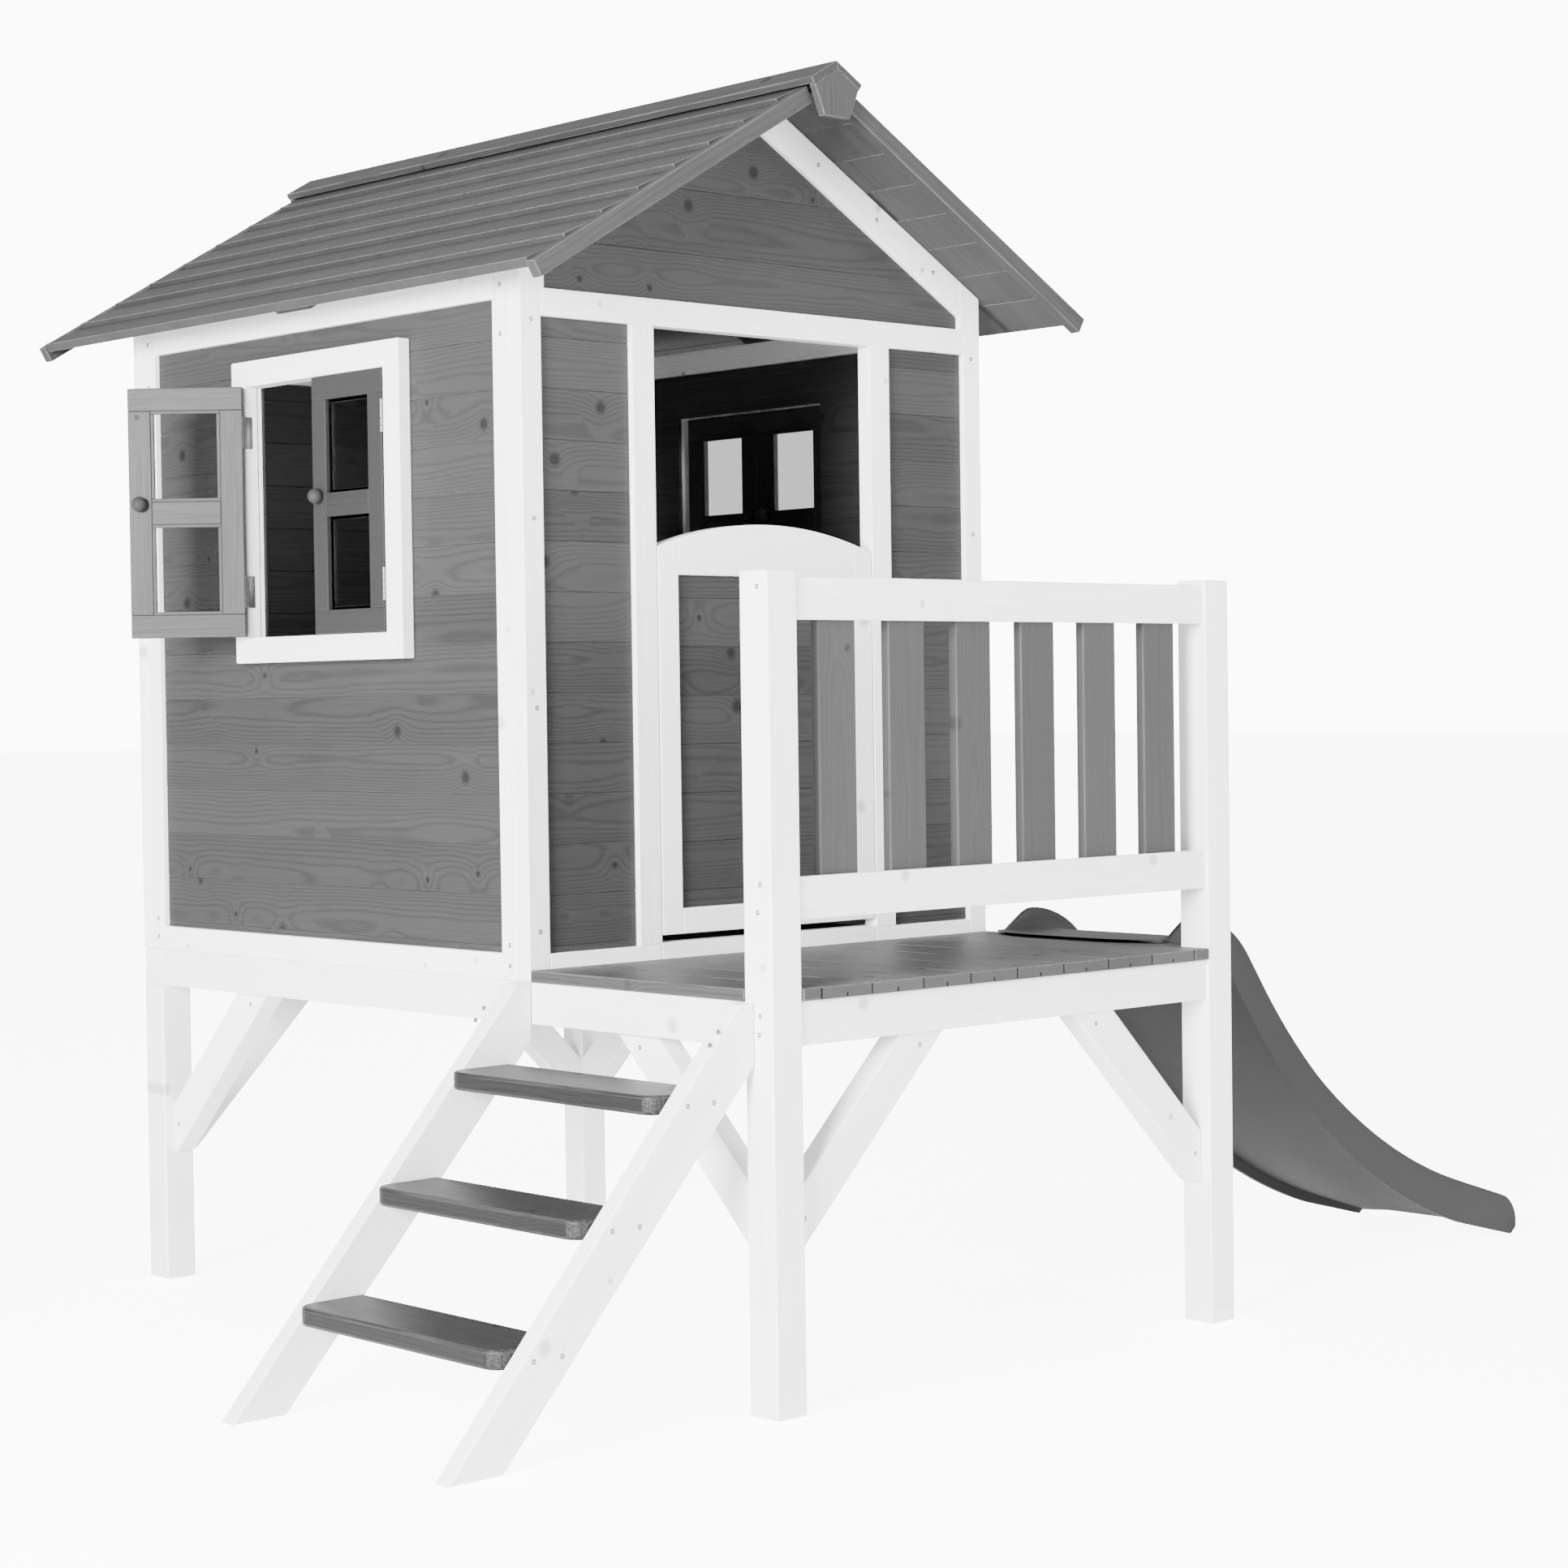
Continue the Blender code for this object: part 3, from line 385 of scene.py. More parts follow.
def roundEdges(bm, edge, segments=2):
    sharp = [
        e for e in bm.edges
        if len(e.link_faces) == 2 and e.calc_face_angle(0.0) > meshing["sharp"]
    ]
    made = bmesh.ops.bevel(
        bm, geom=sharp, offset=edge, segments=segments, profile=0.5, affect="EDGES",
        clamp_overlap=True,
    )
    return set(made["faces"])


def drawnOut(outline, axis, start, end):
    # An outline in the house's frame, drawn out along an axis
    spread = {
        "x": lambda u, v, w: Vector((w, u, v)),
        "y": lambda u, v, w: Vector((u, w, v)),
        "z": lambda u, v, w: Vector((u, v, w)),
    }[axis]
    bm = bmesh.new()
    base = bm.faces.new([bm.verts.new(spread(u, v, start) + origin) for u, v in outline])
    made = bmesh.ops.extrude_face_region(bm, geom=[base])
    raised = [item for item in made["geom"] if isinstance(item, bmesh.types.BMVert)]
    bmesh.ops.translate(bm, verts=raised, vec=axes[axis] * (end - start))
    bmesh.ops.recalc_face_normals(bm, faces=bm.faces[:])
    return bm


def prism(bench, outline, axis, start, end, along, edge):
    # A drawn-out outline with its edges eased. along is the grain's direction.
    bm = drawnOut(outline, axis, start, end)
    bench.take(bm, direction(along), axes[axis], roundEdges(bm, edge))


def block(bench, low, high, along, edge):
    # A plain board between two corners in the house's frame
    sizes = [high[i] - low[i] for i in range(3)]
    at = sizes.index(min(sizes))
    first, second = [i for i in range(3) if i != at]
    outline = [
        (low[first], low[second]), (high[first], low[second]),
        (high[first], high[second]), (low[first], high[second]),
    ]
    prism(bench, outline, "xyz"[at], low[at], high[at], along, edge)


def flattened(bm):
    everything = {"verts": bm.verts[:], "edges": bm.edges[:]}
    bmesh.ops.dissolve_limit(bm, angle_limit=meshing["flat"], **everything)


def nodeShape(node):
    bm = bmesh.new()
    bm.from_mesh(frame["nodes"][node].data)
    bmesh.ops.remove_doubles(bm, verts=bm.verts[:], dist=meshing["weld"])
    flattened(bm)
    return bm


def thinAxis(low, high):
    size = high - low
    return "xyz"[list(size).index(min(size))]


def easedCopy(node, along, edge, segments, finish):
    # The frame's own solid with its edges eased
    bench = Bench()
    low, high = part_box(node)
    bm = nodeShape(node)
    rounded = roundEdges(bm, edge, segments)
    bench.take(bm, direction(along), axes[thinAxis(low, high)], rounded)
    makePiece(node + "_timber", bench, finish, replaces=[node])


boarding = {
    "first": 1.4705, "pitch": 0.0728, "gablePitch": 0.0960, "gableFirst": 1.612,
    "doorDrop": 0.006, "edge": 0.0013, "gap": 0.00002,
    "sliver": 0.006,               # no board is sawn thinner than this
}


def seamHeights(first, pitch):
    return [first + pitch * step for step in range(-16, 8)]


def planks(name, node, seams, along, body="root"):
    # The frame's own panel, sawn at these heights into boards with eased edges
    low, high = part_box(node)
    sliver = boarding["sliver"]
    gap = boarding["gap"]
    within = [seam for seam in seams if low.z + sliver < seam < high.z - sliver]
    levels = [low.z - sliver] + within + [high.z + sliver]
    bench = Bench()
    for bottom, top in zip(levels, levels[1:]):
        bm = nodeShape(node)
        for height, side in ((bottom + gap, -1), (top - gap, 1)):
            bmesh.ops.bisect_plane(
                bm,
                geom=bm.verts[:] + bm.edges[:] + bm.faces[:],
                plane_co=(0, 0, height),
                plane_no=(0, 0, side),
                clear_outer=True,
            )
            rims = [e for e in bm.edges if e.is_boundary]
            if rims:
                bmesh.ops.holes_fill(bm, edges=rims, sides=0)
        flattened(bm)
        bmesh.ops.recalc_face_normals(bm, faces=bm.faces[:])
        rounded = roundEdges(bm, boarding["edge"])
        bench.take(bm, axes[along], axes[thinAxis(low, high)], rounded)
    makePiece(name, bench, "wallStain", body, [node])


def turned(bench, place, outward, profile, sides, smooth=True):
    # A lathe-turned shape: profile is (radius, height) along outward, and closes at both ends
    outward = Vector(outward).normalized()
    helper = Vector((0, 0, 1)) if abs(outward.z) < 0.9 else Vector((1, 0, 0))
    first = outward.cross(helper).normalized()
    second = outward.cross(first)
    bm = bmesh.new()
    rings = []
    for radius, height in profile:
        ring = []
        for side in range(sides):
            angle = 2 * math.pi * side / sides
            spoke = first * math.cos(angle) + second * math.sin(angle)
            ring.append(bm.verts.new(Vector(place) + outward * height + spoke * radius))
        rings.append(ring)
    for low, high in zip(rings, rings[1:]):
        for side in range(sides):
            after = (side + 1) % sides
            bm.faces.new((low[side], low[after], high[after], high[side]))
    bm.faces.new(rings[0][::-1])
    bm.faces.new(rings[-1])
    bmesh.ops.recalc_face_normals(bm, faces=bm.faces[:])
    bench.take(bm, outward, first, smooth=smooth)


def makePiece(name, bench, finish, body="root", replaces=()):
    mesh = bpy.data.meshes.new(name)
    mesh.from_pydata([tuple(point) for point in bench.points], [], bench.faces)
    mesh.materials.append(finishes[finish])
    grain = mesh.attributes.new("grain", "FLOAT_VECTOR", "POINT")
    grain.data.foreach_set("vector", [value for triple in bench.grains for value in triple])
    tone = mesh.attributes.new("tone", "FLOAT", "POINT")
    tone.data.foreach_set("value", bench.tones)
    # edge marks the eased faces, which take the pale edge colour: wear, and on the roof painted
    # highlight
    edge = mesh.attributes.new("edge", "FLOAT", "FACE")
    edge.data.foreach_set("value", bench.edges)
    mesh.polygons.foreach_set("use_smooth", bench.smooths)
    mesh.update()
    piece = bpy.data.objects.new(name, mesh)
    bpy.context.scene.collection.objects.link(piece)
    if any(bench.smooths):
        mesh.set_sharp_from_angle(angle=meshing["crease"])
    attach(piece, body)
    if replaces:
        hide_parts(*replaces)


screwLook = {
    "radius": 0.0036, "proud": 0.0004, "recess": 0.0011,
    "postSides": (1.095, 0.705, 0.668, 0.532, 0.507), "postIn": 0.020, "stagger": 0.006,
    "cornerIn": 0.020, "frontCorners": (1.493, 1.21, 0.94, 0.62, 0.562),
    "backCorners": (1.50, 1.05, 0.60), "sideCornerIn": 0.046,
    "sideCorners": (1.545, 1.475, 0.600, 0.570),
    "rafterShares": (0.12, 0.42, 0.72, 0.94), "rafterDrop": 0.026, "treadShares": (0.32, 0.72),
    "stringerTops": ((-0.064, 0.516), (-0.079, 0.500)),
    "braceFoot": (0.014, 0.045), "braceHead": (0.235, 0.018),
    "rearHighest": 0.4,    # the rear stringer's top tread shows no screws
}


def screwHead(bench, place, outward):
    r = screwLook["radius"]
    proud = screwLook["proud"]
    profile = [
        (r, -0.0006), (r, proud * 0.4), (r * 0.86, proud), (r * 0.42, proud),
        (r * 0.30, -screwLook["recess"] + proud), (r * 0.05, -screwLook["recess"]),
    ]
    turned(bench, origin + Vector(place), outward, profile, 10, smooth=False)


def houseBox(node):
    # A node's box in the house's frame: its low x, y and z, then its high ones
    return [corner[i] - origin[i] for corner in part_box(node) for i in range(3)]


def rafterLine(x):
    return rafterFoot + slope * min(x, house["width"] - x)


def flipped(outline):
    return [(house["width"] - u, v) for u, v in outline]


legLook = {"edge": 0.0028, "railEdge": 0.0020, "braceEdge": 0.0020}


def makeUnderframe():
    for name in ("leg_back_left", "leg_back_right", "post_front_left", "post_front_right"):
        easedCopy(name, "z", legLook["edge"], 3, "whiteStain")
    for name in ("beam_house_left", "beam_house_right", "beam_deck_left", "beam_deck_right"):
        easedCopy(name, "y", legLook["edge"], 2, "whiteStain")
    for name in ("beam_back", "beam_middle", "beam_front"):
        easedCopy(name, "x", legLook["edge"], 2, "whiteStain")
    for name in ("rail_top", "rail_bottom"):
        easedCopy(name, "x", legLook["railEdge"], 2, "whiteStain")
    for end in ("back", "front"):
        for side in ("left", "right"):
            for way in ("x", "y"):
                name = f"brace_{end}_{side}_{way}"
                low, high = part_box(name)
                size = high - low
                ahead = side == "left" if way == "x" else end == "front"
                run = axes[way] * (1 if ahead else -1) * size["xyz".index(way)]
                easedCopy(name, run + axes["z"] * size.z, legLook["braceEdge"], 2, "whiteStain")


deckLook = {
    "seams": (0.0886, 0.1816, 0.2798, 0.3730, 0.4673, 0.5644, 0.6607, 0.7572, 0.8537),
    "gap": 0.0030, "kerfWide": 0.0036, "kerfDeep": 0.0062, "edge": 0.0022,
    "floorPitch": 0.096, "floorEdge": 0.0015,
}


def makeDeck():
    front, bottom, _, back, top = houseBox("deck_boards")[1:]
    postRight, postBack = [edge + house["gap"] for edge in houseBox("post_front_left")[3:5]]
    bench = Bench()
    width = house["width"]
    ends = (0.0,) + deckLook["seams"] + (width,)
    gap = deckLook["gap"]
    last = len(deckLook["seams"])
    for number, (left, right) in enumerate(zip(ends, ends[1:])):
        left += gap / 2 if number else 0.0
        right -= gap / 2 if number < last else 0.0
        if number in (0, last):    # notched round the front posts
            inner = width - left if number else right
            outline = [
                (0.0, back), (0.0, postBack), (postRight, postBack), (postRight, front),
                (inner, front), (inner, back),
            ]
            outline = flipped(outline) if number else outline
            prism(bench, outline, "z", bottom, top, "y", deckLook["edge"])
            continue
        centre = (left + right) / 2
        half = deckLook["kerfWide"] / 2
        kerfTop = bottom + deckLook["kerfDeep"]
        section = [
            (left, bottom), (centre - half, bottom), (centre - half, kerfTop),
            (centre + half, kerfTop), (centre + half, bottom),
            (right, bottom), (right, top), (left, top),
        ]
        bm = drawnOut(section, "y", front, back)
        halfway = (kerfTop + top) / 2
        upper = [e for e in bm.edges if all(vertex.co.z > halfway for vertex in e.verts)]
        made = bmesh.ops.bevel(
            bm, geom=upper, offset=deckLook["edge"], segments=3, profile=0.5, affect="EDGES"
        )
        bench.take(bm, axes["y"], axes["z"], set(made["faces"]))
    makePiece("deck_planks", bench, "deckStain", replaces=["deck_boards"])

    x0, y0, z0, x1, y1, z1 = houseBox("house_floor")
    bench = Bench()
    count = round((x1 - x0) / deckLook["floorPitch"])
    wide = (x1 - x0) / count
    for number in range(count):
        left = x0 + wide * number
        low = (left + gap / 2, y0, z0)
        high = (left + wide - gap / 2, y1, z1)
        block(bench, low, high, "y", deckLook["floorEdge"])
    makePiece("floor_planks", bench, "deckStain", replaces=["house_floor"])


framing = {
    "thick": 0.027, "member": 0.038, "topBeam": 0.040, "sill": 0.0385, "beamTop": 1.539,
    "doorOpening": 0.444, "doorPost": 0.043, "doorSill": 0.041, "gablePost": 0.045,
    "rafter": 0.050, "edge": 0.0016,
}
windowLook = {
    "wide": 0.366, "bottom": 1.056, "top": 1.450, "trim": 0.040, "edge": 0.0018,
    "reveal": 0.0006, "revealIn": 0.5,
}


def gableFrame(bench, start, door):
    f = framing
    end = start + f["thick"]
    base = house["base"]
    sillTop = base - house["gap"] + f["sill"]
    beamLow = f["beamTop"] - f["topBeam"]
    drop = f["rafter"] * lean
    e = f["edge"]
    width = house["width"]
    postIn = f["gablePost"]
    postTop = rafterLine(postIn)
    post = [
        (0.0, base), (f["member"], base), (f["member"], f["beamTop"]), (postIn, f["beamTop"]),
        (postIn, postTop), (0.0, rafterFoot),
    ]
    rafter = [
        (postIn, postTop - drop), (middle, rafterLine(middle) - drop),
        (middle, rafterLine(middle)), (postIn, postTop),
    ]
    for turn, way in ((list, 1), (flipped, -1)):
        prism(bench, turn(post), "y", start, end, "z", e)
        prism(bench, turn(rafter), "y", start, end, Vector((way, 0, slope)), e)
    beamLeft = f["member"]
    block(bench, (beamLeft, start, beamLow), (width - beamLeft, end, f["beamTop"]), "x", e)
    if not door:
        block(bench, (beamLeft, start, base), (width - beamLeft, end, sillTop), "x", e)
        return
    doorLeft = middle - f["doorOpening"] / 2
    doorRight = middle + f["doorOpening"] / 2
    doorBase = base - house["gap"] + f["doorSill"]
    block(bench, (beamLeft, start, base), (doorLeft, end, sillTop), "x", e)
    block(bench, (doorLeft, start, base), (doorRight, end, doorBase), "x", e)
    block(bench, (doorRight, start, base), (width - beamLeft, end, sillTop), "x", e)
    for left in (doorLeft - f["doorPost"], doorRight):
        block(bench, (left, start, sillTop), (left + f["doorPost"], end, beamLow), "z", e)


def sideFrame(bench, side):
    x0, y0, z0, x1, y1, z1 = houseBox("wall_frame_" + side)
    f = framing
    near = f["thick"] + f["member"]
    far = house["depth"] - near
    e = f["edge"]
    block(bench, (x0, y0, z0), (x1, near, z1), "z", e)
    block(bench, (x0, far, z0), (x1, y1, z1), "z", e)
    block(bench, (x0, near, z1 - f["topBeam"]), (x1, far, z1), "y", e)
    block(bench, (x0, near, z0), (x1, far, z0 - house["gap"] + f["sill"]), "y", e)


def mitredTrim(bench, side):
    x0, near, bottom, x1, far, top = houseBox("window_trim_" + side)
    trim = windowLook["trim"]
    outer = [(near, bottom), (far, bottom), (far, top), (near, top)]
    left, right, bottom, top = near + trim, far - trim, bottom + trim, top - trim
    inner = [(left, bottom), (right, bottom), (right, top), (left, top)]
    for number in range(4):
        after = (number + 1) % 4
        corners = [outer[number], outer[after], inner[after], inner[number]]
        prism(bench, corners, "x", x0, x1, "y" if number % 2 == 0 else "z", windowLook["edge"])
    boards = houseBox("wall_boards_" + side)
    skin = windowLook["reveal"]
    inset = (boards[3] - boards[0]) * windowLook["revealIn"]
    x0, x1 = boards[0], boards[3] - inset
    if side == "right":
        x0, x1 = x0 + inset, x1 + inset
    for y0, y1, z0, z1, grain in (
        (left, right, top - skin, top, "y"),
        (left, right, bottom, bottom + skin, "y"),
        (left, left + skin, bottom + skin, top - skin, "z"),
        (right - skin, right, bottom + skin, top - skin, "z"),
    ):
        block(bench, (x0, y0, z0), (x1, y1, z1), grain, skin / 4)


def makeWalls():
    bench = Bench()
    gableFrame(bench, 0.0, True)
    makePiece("front_frame", bench, "whiteStain", replaces=["wall_frame_front"])
    bench = Bench()
    gableFrame(bench, house["depth"] - framing["thick"], False)
    makePiece("back_frame", bench, "whiteStain", replaces=["wall_frame_back"])
    seams = seamHeights(boarding["first"], boarding["pitch"])
    for side in ("left", "right"):
        bench = Bench()
        sideFrame(bench, side)
        makePiece(side + "_frame", bench, "whiteStain", replaces=["wall_frame_" + side])
        bench = Bench()
        mitredTrim(bench, side)
        makePiece(side + "_window_trim", bench, "whiteStain", replaces=["window_trim_" + side])
        planks(side + "_wall_planks", "wall_boards_" + side, seams, "y")
    for name in ("front_left", "front_right", "back"):
        planks(name + "_wall_planks", "wall_boards_" + name, seams, "x")
    gableSeams = seamHeights(boarding["gableFirst"], boarding["gablePitch"])
    for name in ("front", "back"):
        planks(name + "_gable_planks", "gable_boards_" + name, gableSeams, "x")


doorLook = {
    "stile": 0.040, "bottomRail": 0.038, "topRail": 0.042, "shoulder": 1.176, "rise": 0.037,
    "edge": 0.0018, "steps": 20, "plugs": (-0.110, 0.118), "plugDrop": 0.018, "lowPlug": 0.085,
}


def makeDoor():
    left, y0, bottom, right, y1, top = houseBox("door_frame")
    d = doorLook
    half = (right - left) / 2
    centreX = (left + right) / 2
    radius = (half**2 + d["rise"] ** 2) / (2 * d["rise"])
    centreZ = top - radius
    inner = half - d["stile"]
    railLow = d["shoulder"] - d["topRail"]

    def arch(x):
        return centreZ + math.sqrt(radius**2 - (x - centreX) ** 2)

    bench = Bench()
    bottomTop = bottom + d["bottomRail"]
    for way in (-1, 1):
        outside = centreX + way * half
        inside = centreX + way * inner
        steps = [outside + (inside - outside) * step / 4 for step in range(5)]
        outline = [(outside, bottom), (inside, bottom)] + [(x, arch(x)) for x in steps[::-1]]
        prism(bench, outline, "y", y0, y1, "z", d["edge"])
    block(bench, (centreX - inner, y0, bottom), (centreX + inner, y1, bottomTop), "x", d["edge"])
    xs = [centreX + inner * (1 - 2 * step / d["steps"]) for step in range(d["steps"] + 1)]
    outline = [(centreX - inner, railLow), (centreX + inner, railLow)] + [(x, arch(x)) for x in xs]
    prism(bench, outline, "y", y0, y1, "x", d["edge"])
    makePiece("door_joinery", bench, "whiteStain", "door", ["door_frame"])
    seams = seamHeights(boarding["first"] - boarding["doorDrop"], boarding["pitch"])
    planks("door_planks", "door_boards", seams, "x", "door")
    bench = Bench()
    plug = [(0.0042, -0.001), (0.0042, 0.0002), (0.0036, 0.0005), (0.0004, 0.0005)]
    spots = [(centreX + x, arch(centreX + x) - d["plugDrop"]) for x in d["plugs"]]
    for x, z in spots + [(left + d["stile"] / 2, bottom + d["lowPlug"])]:
        turned(bench, origin + Vector((x, y0, z)), (0, -1, 0), plug, 16, smooth=False)
    makePiece("door_plugs", bench, "whiteStain", "door")


shutterLook = {
    "thick": 0.016, "gap": 0.001, "middleGap": 0.0015, "stile": 0.036, "rail": 0.036,
    "edge": 0.0011, "pane": 0.0022, "bead": 0.005, "knob": 0.012, "knobIn": 0.018,
    "knobUp": 0.014, "knobStand": 0.020, "hinges": (1.128, 1.378), "hingeLong": 0.050,
    "plate": (0.0005, 0.0135), "plateEdge": 0.0001, "paneEdge": 0.0002, "beadIn": 0.001,
    "beadEdge": 0.0006, "standsOpen": -135,
}


def makeShutter(name, side, end):
    s = shutterLook
    w = windowLook
    hinge = next(joint for joint in frame["joints"] if joint["child"] == name)
    hx = hinge["pos_m"][0] - house["left"]
    hy = hinge["pos_m"][1] - house["front"]
    along = -1 if end == "rear" else 1
    inward = 1 if side == "left" else -1
    width = (w["wide"] - 2 * s["gap"] - s["middleGap"]) / 2
    low = w["bottom"] + s["gap"]
    high = w["top"] - s["gap"]
    centre = (low + high) / 2

    def leafBlock(bench, y0, y1, z0, z1, x0, x1, grain, edge):
        ys = sorted((hy + along * y0, hy + along * y1))
        xs = sorted((hx + inward * x0, hx + inward * x1))
        block(bench, (xs[0], ys[0], z0), (xs[1], ys[1], z1), grain, edge)

    near = s["gap"]
    far = s["gap"] + width
    inNear = near + s["stile"]
    inFar = far - s["stile"]
    railTop = low + s["rail"]
    railLow = high - s["rail"]
    barLow = centre - s["rail"] / 2
    barHigh = centre + s["rail"] / 2
    wood = Bench()
    thick = s["thick"]
    for y0, y1, z0, z1, grain in (
        (near, far, low, railTop, "y"), (near, far, railLow, high, "y"),
        (near, inNear, railTop, railLow, "z"), (inFar, far, railTop, railLow, "z"),
        (inNear, inFar, barLow, barHigh, "y"),
    ):
        leafBlock(wood, y0, y1, z0, z1, 0, thick, grain, s["edge"])
    glass = Bench()
    b = s["bead"]
    paneIn = thick / 2 - s["pane"] / 2
    paneOut = paneIn + s["pane"]
    for bottom, top in ((railTop, barLow), (barHigh, railLow)):
        leafBlock(glass, inNear, inFar, bottom, top, paneIn, paneOut, "y", s["paneEdge"])
        for y0, y1, z0, z1, grain in (
            (inNear, inFar, bottom, bottom + b, "y"), (inNear, inFar, top - b, top, "y"),
            (inNear, inNear + b, bottom + b, top - b, "z"),
            (inFar - b, inFar, bottom + b, top - b, "z"),
        ):
            beadOut = thick - s["beadIn"]
            leafBlock(wood, y0, y1, z0, z1, paneOut, beadOut, grain, s["beadEdge"])

    knobs = Bench()
    r = s["knob"]
    stand = s["knobStand"]
    profile = [(0.0065, -0.0005), (0.0065, 0.0012), (0.0048, 0.0024), (0.0048, stand - 1.75 * r)]
    for step in range(9):
        angle = math.radians(-42 + 132 * step / 8)
        profile.append((max(0.0004, r * math.cos(angle)), stand - r + r * math.sin(angle)))
    knobY = hy + along * (far - s["knobIn"])
    for x, way in ((hx, -inward), (hx + inward * thick, inward)):
        spot = origin + Vector((x, knobY, centre + s["knobUp"]))
        turned(knobs, spot, (way, 0, 0), profile, 28)
        cap = [(0.0016, 0.0), (0.0016, 0.0004), (0.0002, 0.0005)]
        turned(knobs, spot + Vector((way * (stand - 0.0004), 0, 0)), (way, 0, 0), cap, 10)

    leafPlates = Bench()
    barrels = Bench()
    ring = [(0.0021, 0.0003), (0.0024, 0.0006), (0.0024, 0.0094), (0.0021, 0.0097)]
    for z in s["hinges"]:
        z0 = z - s["hingeLong"] / 2
        z1 = z + s["hingeLong"] / 2
        plate = (z0, z1, *s["plate"], "z", s["plateEdge"])
        leafBlock(leafPlates, near - 0.0005, near + 0.0001, *plate)
        for part in range(5):
            foot = Vector((hx - inward * 0.0004, hy, z0 + s["hingeLong"] * part / 5))
            turned(barrels, origin + foot, (0, 0, 1), ring, 12)
        leafBlock(barrels, -0.0002, 0.0003, *plate)

    spin = Matrix.Translation(Vector(hinge["pos_m"])) @ Matrix.Rotation(restTurn(name), 4, "Z")
    spin = spin @ Matrix.Translation(-Vector(hinge["pos_m"]))
    for bench in (wood, glass, knobs, leafPlates):
        bench.turn(spin)
    makePiece(name + "_joinery", wood, "shutterStain", name, [name])
    makePiece(name + "_panes", glass, "clearPane", name)
    makePiece(name + "_knobs", knobs, "turnedKnob", name)
    makePiece(name + "_hinge_plates", leafPlates, "zincPlate", name)
    makePiece(name + "_hinge_barrels", barrels, "zincPlate")


def restTurn(name):
    # A shut leaf is far wider along the wall than across it. The other one stands open.
    low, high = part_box(name)
    shut = high.y - low.y > 2 * (high.x - low.x)
    return 0.0 if shut else math.radians(shutterLook["standsOpen"])


roofLook = {
    "overhang": 0.148, "eave": 0.0835, "boards": 8, "butt": 0.015, "head": 0.007,
    "ridgeGap": 0.0165, "bargeDeep": 0.019, "bargeRise": 0.0105, "bargeDrop": 0.0150,
    "bargeTop": 0.040, "bargeToe": 0.0155, "bargePast": 0.002, "battenWide": 0.088,
    "battenThick": 0.020, "battenReach": 0.052, "battenTop": 0.033, "edge": 0.0012,
    "battenNose": 0.012, "trimEdge": 0.0015, "ridgeEdge": 0.0016,
}


def roofPoint(run, up):
    # A point so far across from the wall's outer face and so far off the rafters' top
    height = rafterFoot + slope * run + up * math.cos(house["pitch"])
    return run - up * math.sin(house["pitch"]), height


def makeRoof():
    r = roofLook
    front = -r["overhang"]
    back = house["depth"] + r["overhang"]
    top = middle - r["ridgeGap"]
    step = (top + r["eave"]) / r["boards"]
    for side, turn, way in (("left", list, 1), ("right", flipped, -1)):
        upSlope = Vector((way, 0, slope))
        planksBench = Bench()
        for number in range(r["boards"]):
            start = -r["eave"] + step * number
            outline = [
                roofPoint(start + 0.0003, 0.0003), roofPoint(start + 0.0003, r["butt"]),
                roofPoint(start + step, r["head"]), roofPoint(start + step, 0.0003),
            ]
            jog = dice.uniform(-0.0006, 0.0006)
            prism(
                planksBench, turn(outline), "y",
                front + r["bargeDeep"] + jog, back - r["bargeDeep"] + jog, "y", r["edge"],
            )
        makePiece("roof_" + side + "_planks", planksBench, "roofStain", replaces=["roof_" + side])
        edging = Bench()
        foot = -r["eave"] - r["bargePast"]
        barge = [
            roofPoint(foot, r["bargeRise"]), roofPoint(foot, -r["bargeToe"]),
            roofPoint(-r["battenReach"] / 2, -r["bargeDrop"]),
            roofPoint(middle - r["bargeTop"], -r["bargeDrop"]),
            roofPoint(middle - r["bargeTop"], r["bargeRise"]),
        ]
        for y0 in (front, back - r["bargeDeep"]):
            prism(edging, turn(barge), "y", y0, y0 + r["bargeDeep"], upSlope, r["trimEdge"])
        batten = [
            roofPoint(-r["battenReach"], 0.0),
            roofPoint(-r["battenReach"] + r["battenNose"], -r["battenThick"]),
            roofPoint(middle - r["battenTop"], -r["battenThick"]),
            roofPoint(middle - r["battenTop"], 0.0),
        ]
        y0 = (house["depth"] - r["battenWide"]) / 2
        prism(edging, turn(batten), "y", y0, y0 + r["battenWide"], upSlope, r["trimEdge"])
        makePiece("roof_" + side + "_edging", edging, "roofStain")
    for name, along in (
        ("ridge_cap_left", "y"), ("ridge_cap_right", "y"),
        ("ridge_plate_front", "z"), ("ridge_plate_back", "z"),
    ):
        easedCopy(name, along, r["ridgeEdge"], 2, "roofStain")


climbLook = {"balusterEdge": 0.0022, "stringerEdge": 0.0026, "treadEdge": 0.0048}


def makeRailing():
    for number in range(1, 7):
        easedCopy(f"baluster_{number}", "z", climbLook["balusterEdge"], 3, "trimStain")


def makeLadder():
    low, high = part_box("ladder_stringer_front")
    rake = Vector((1, 0, (high.z - low.z) / (high.x - low.x)))
    for name in ("ladder_stringer_front", "ladder_stringer_rear"):
        easedCopy(name, rake, climbLook["stringerEdge"], 3, "whiteStain")
    for number in (1, 2, 3):
        easedCopy(f"ladder_tread_{number}", "y", climbLook["treadEdge"], 4, "treadStain")


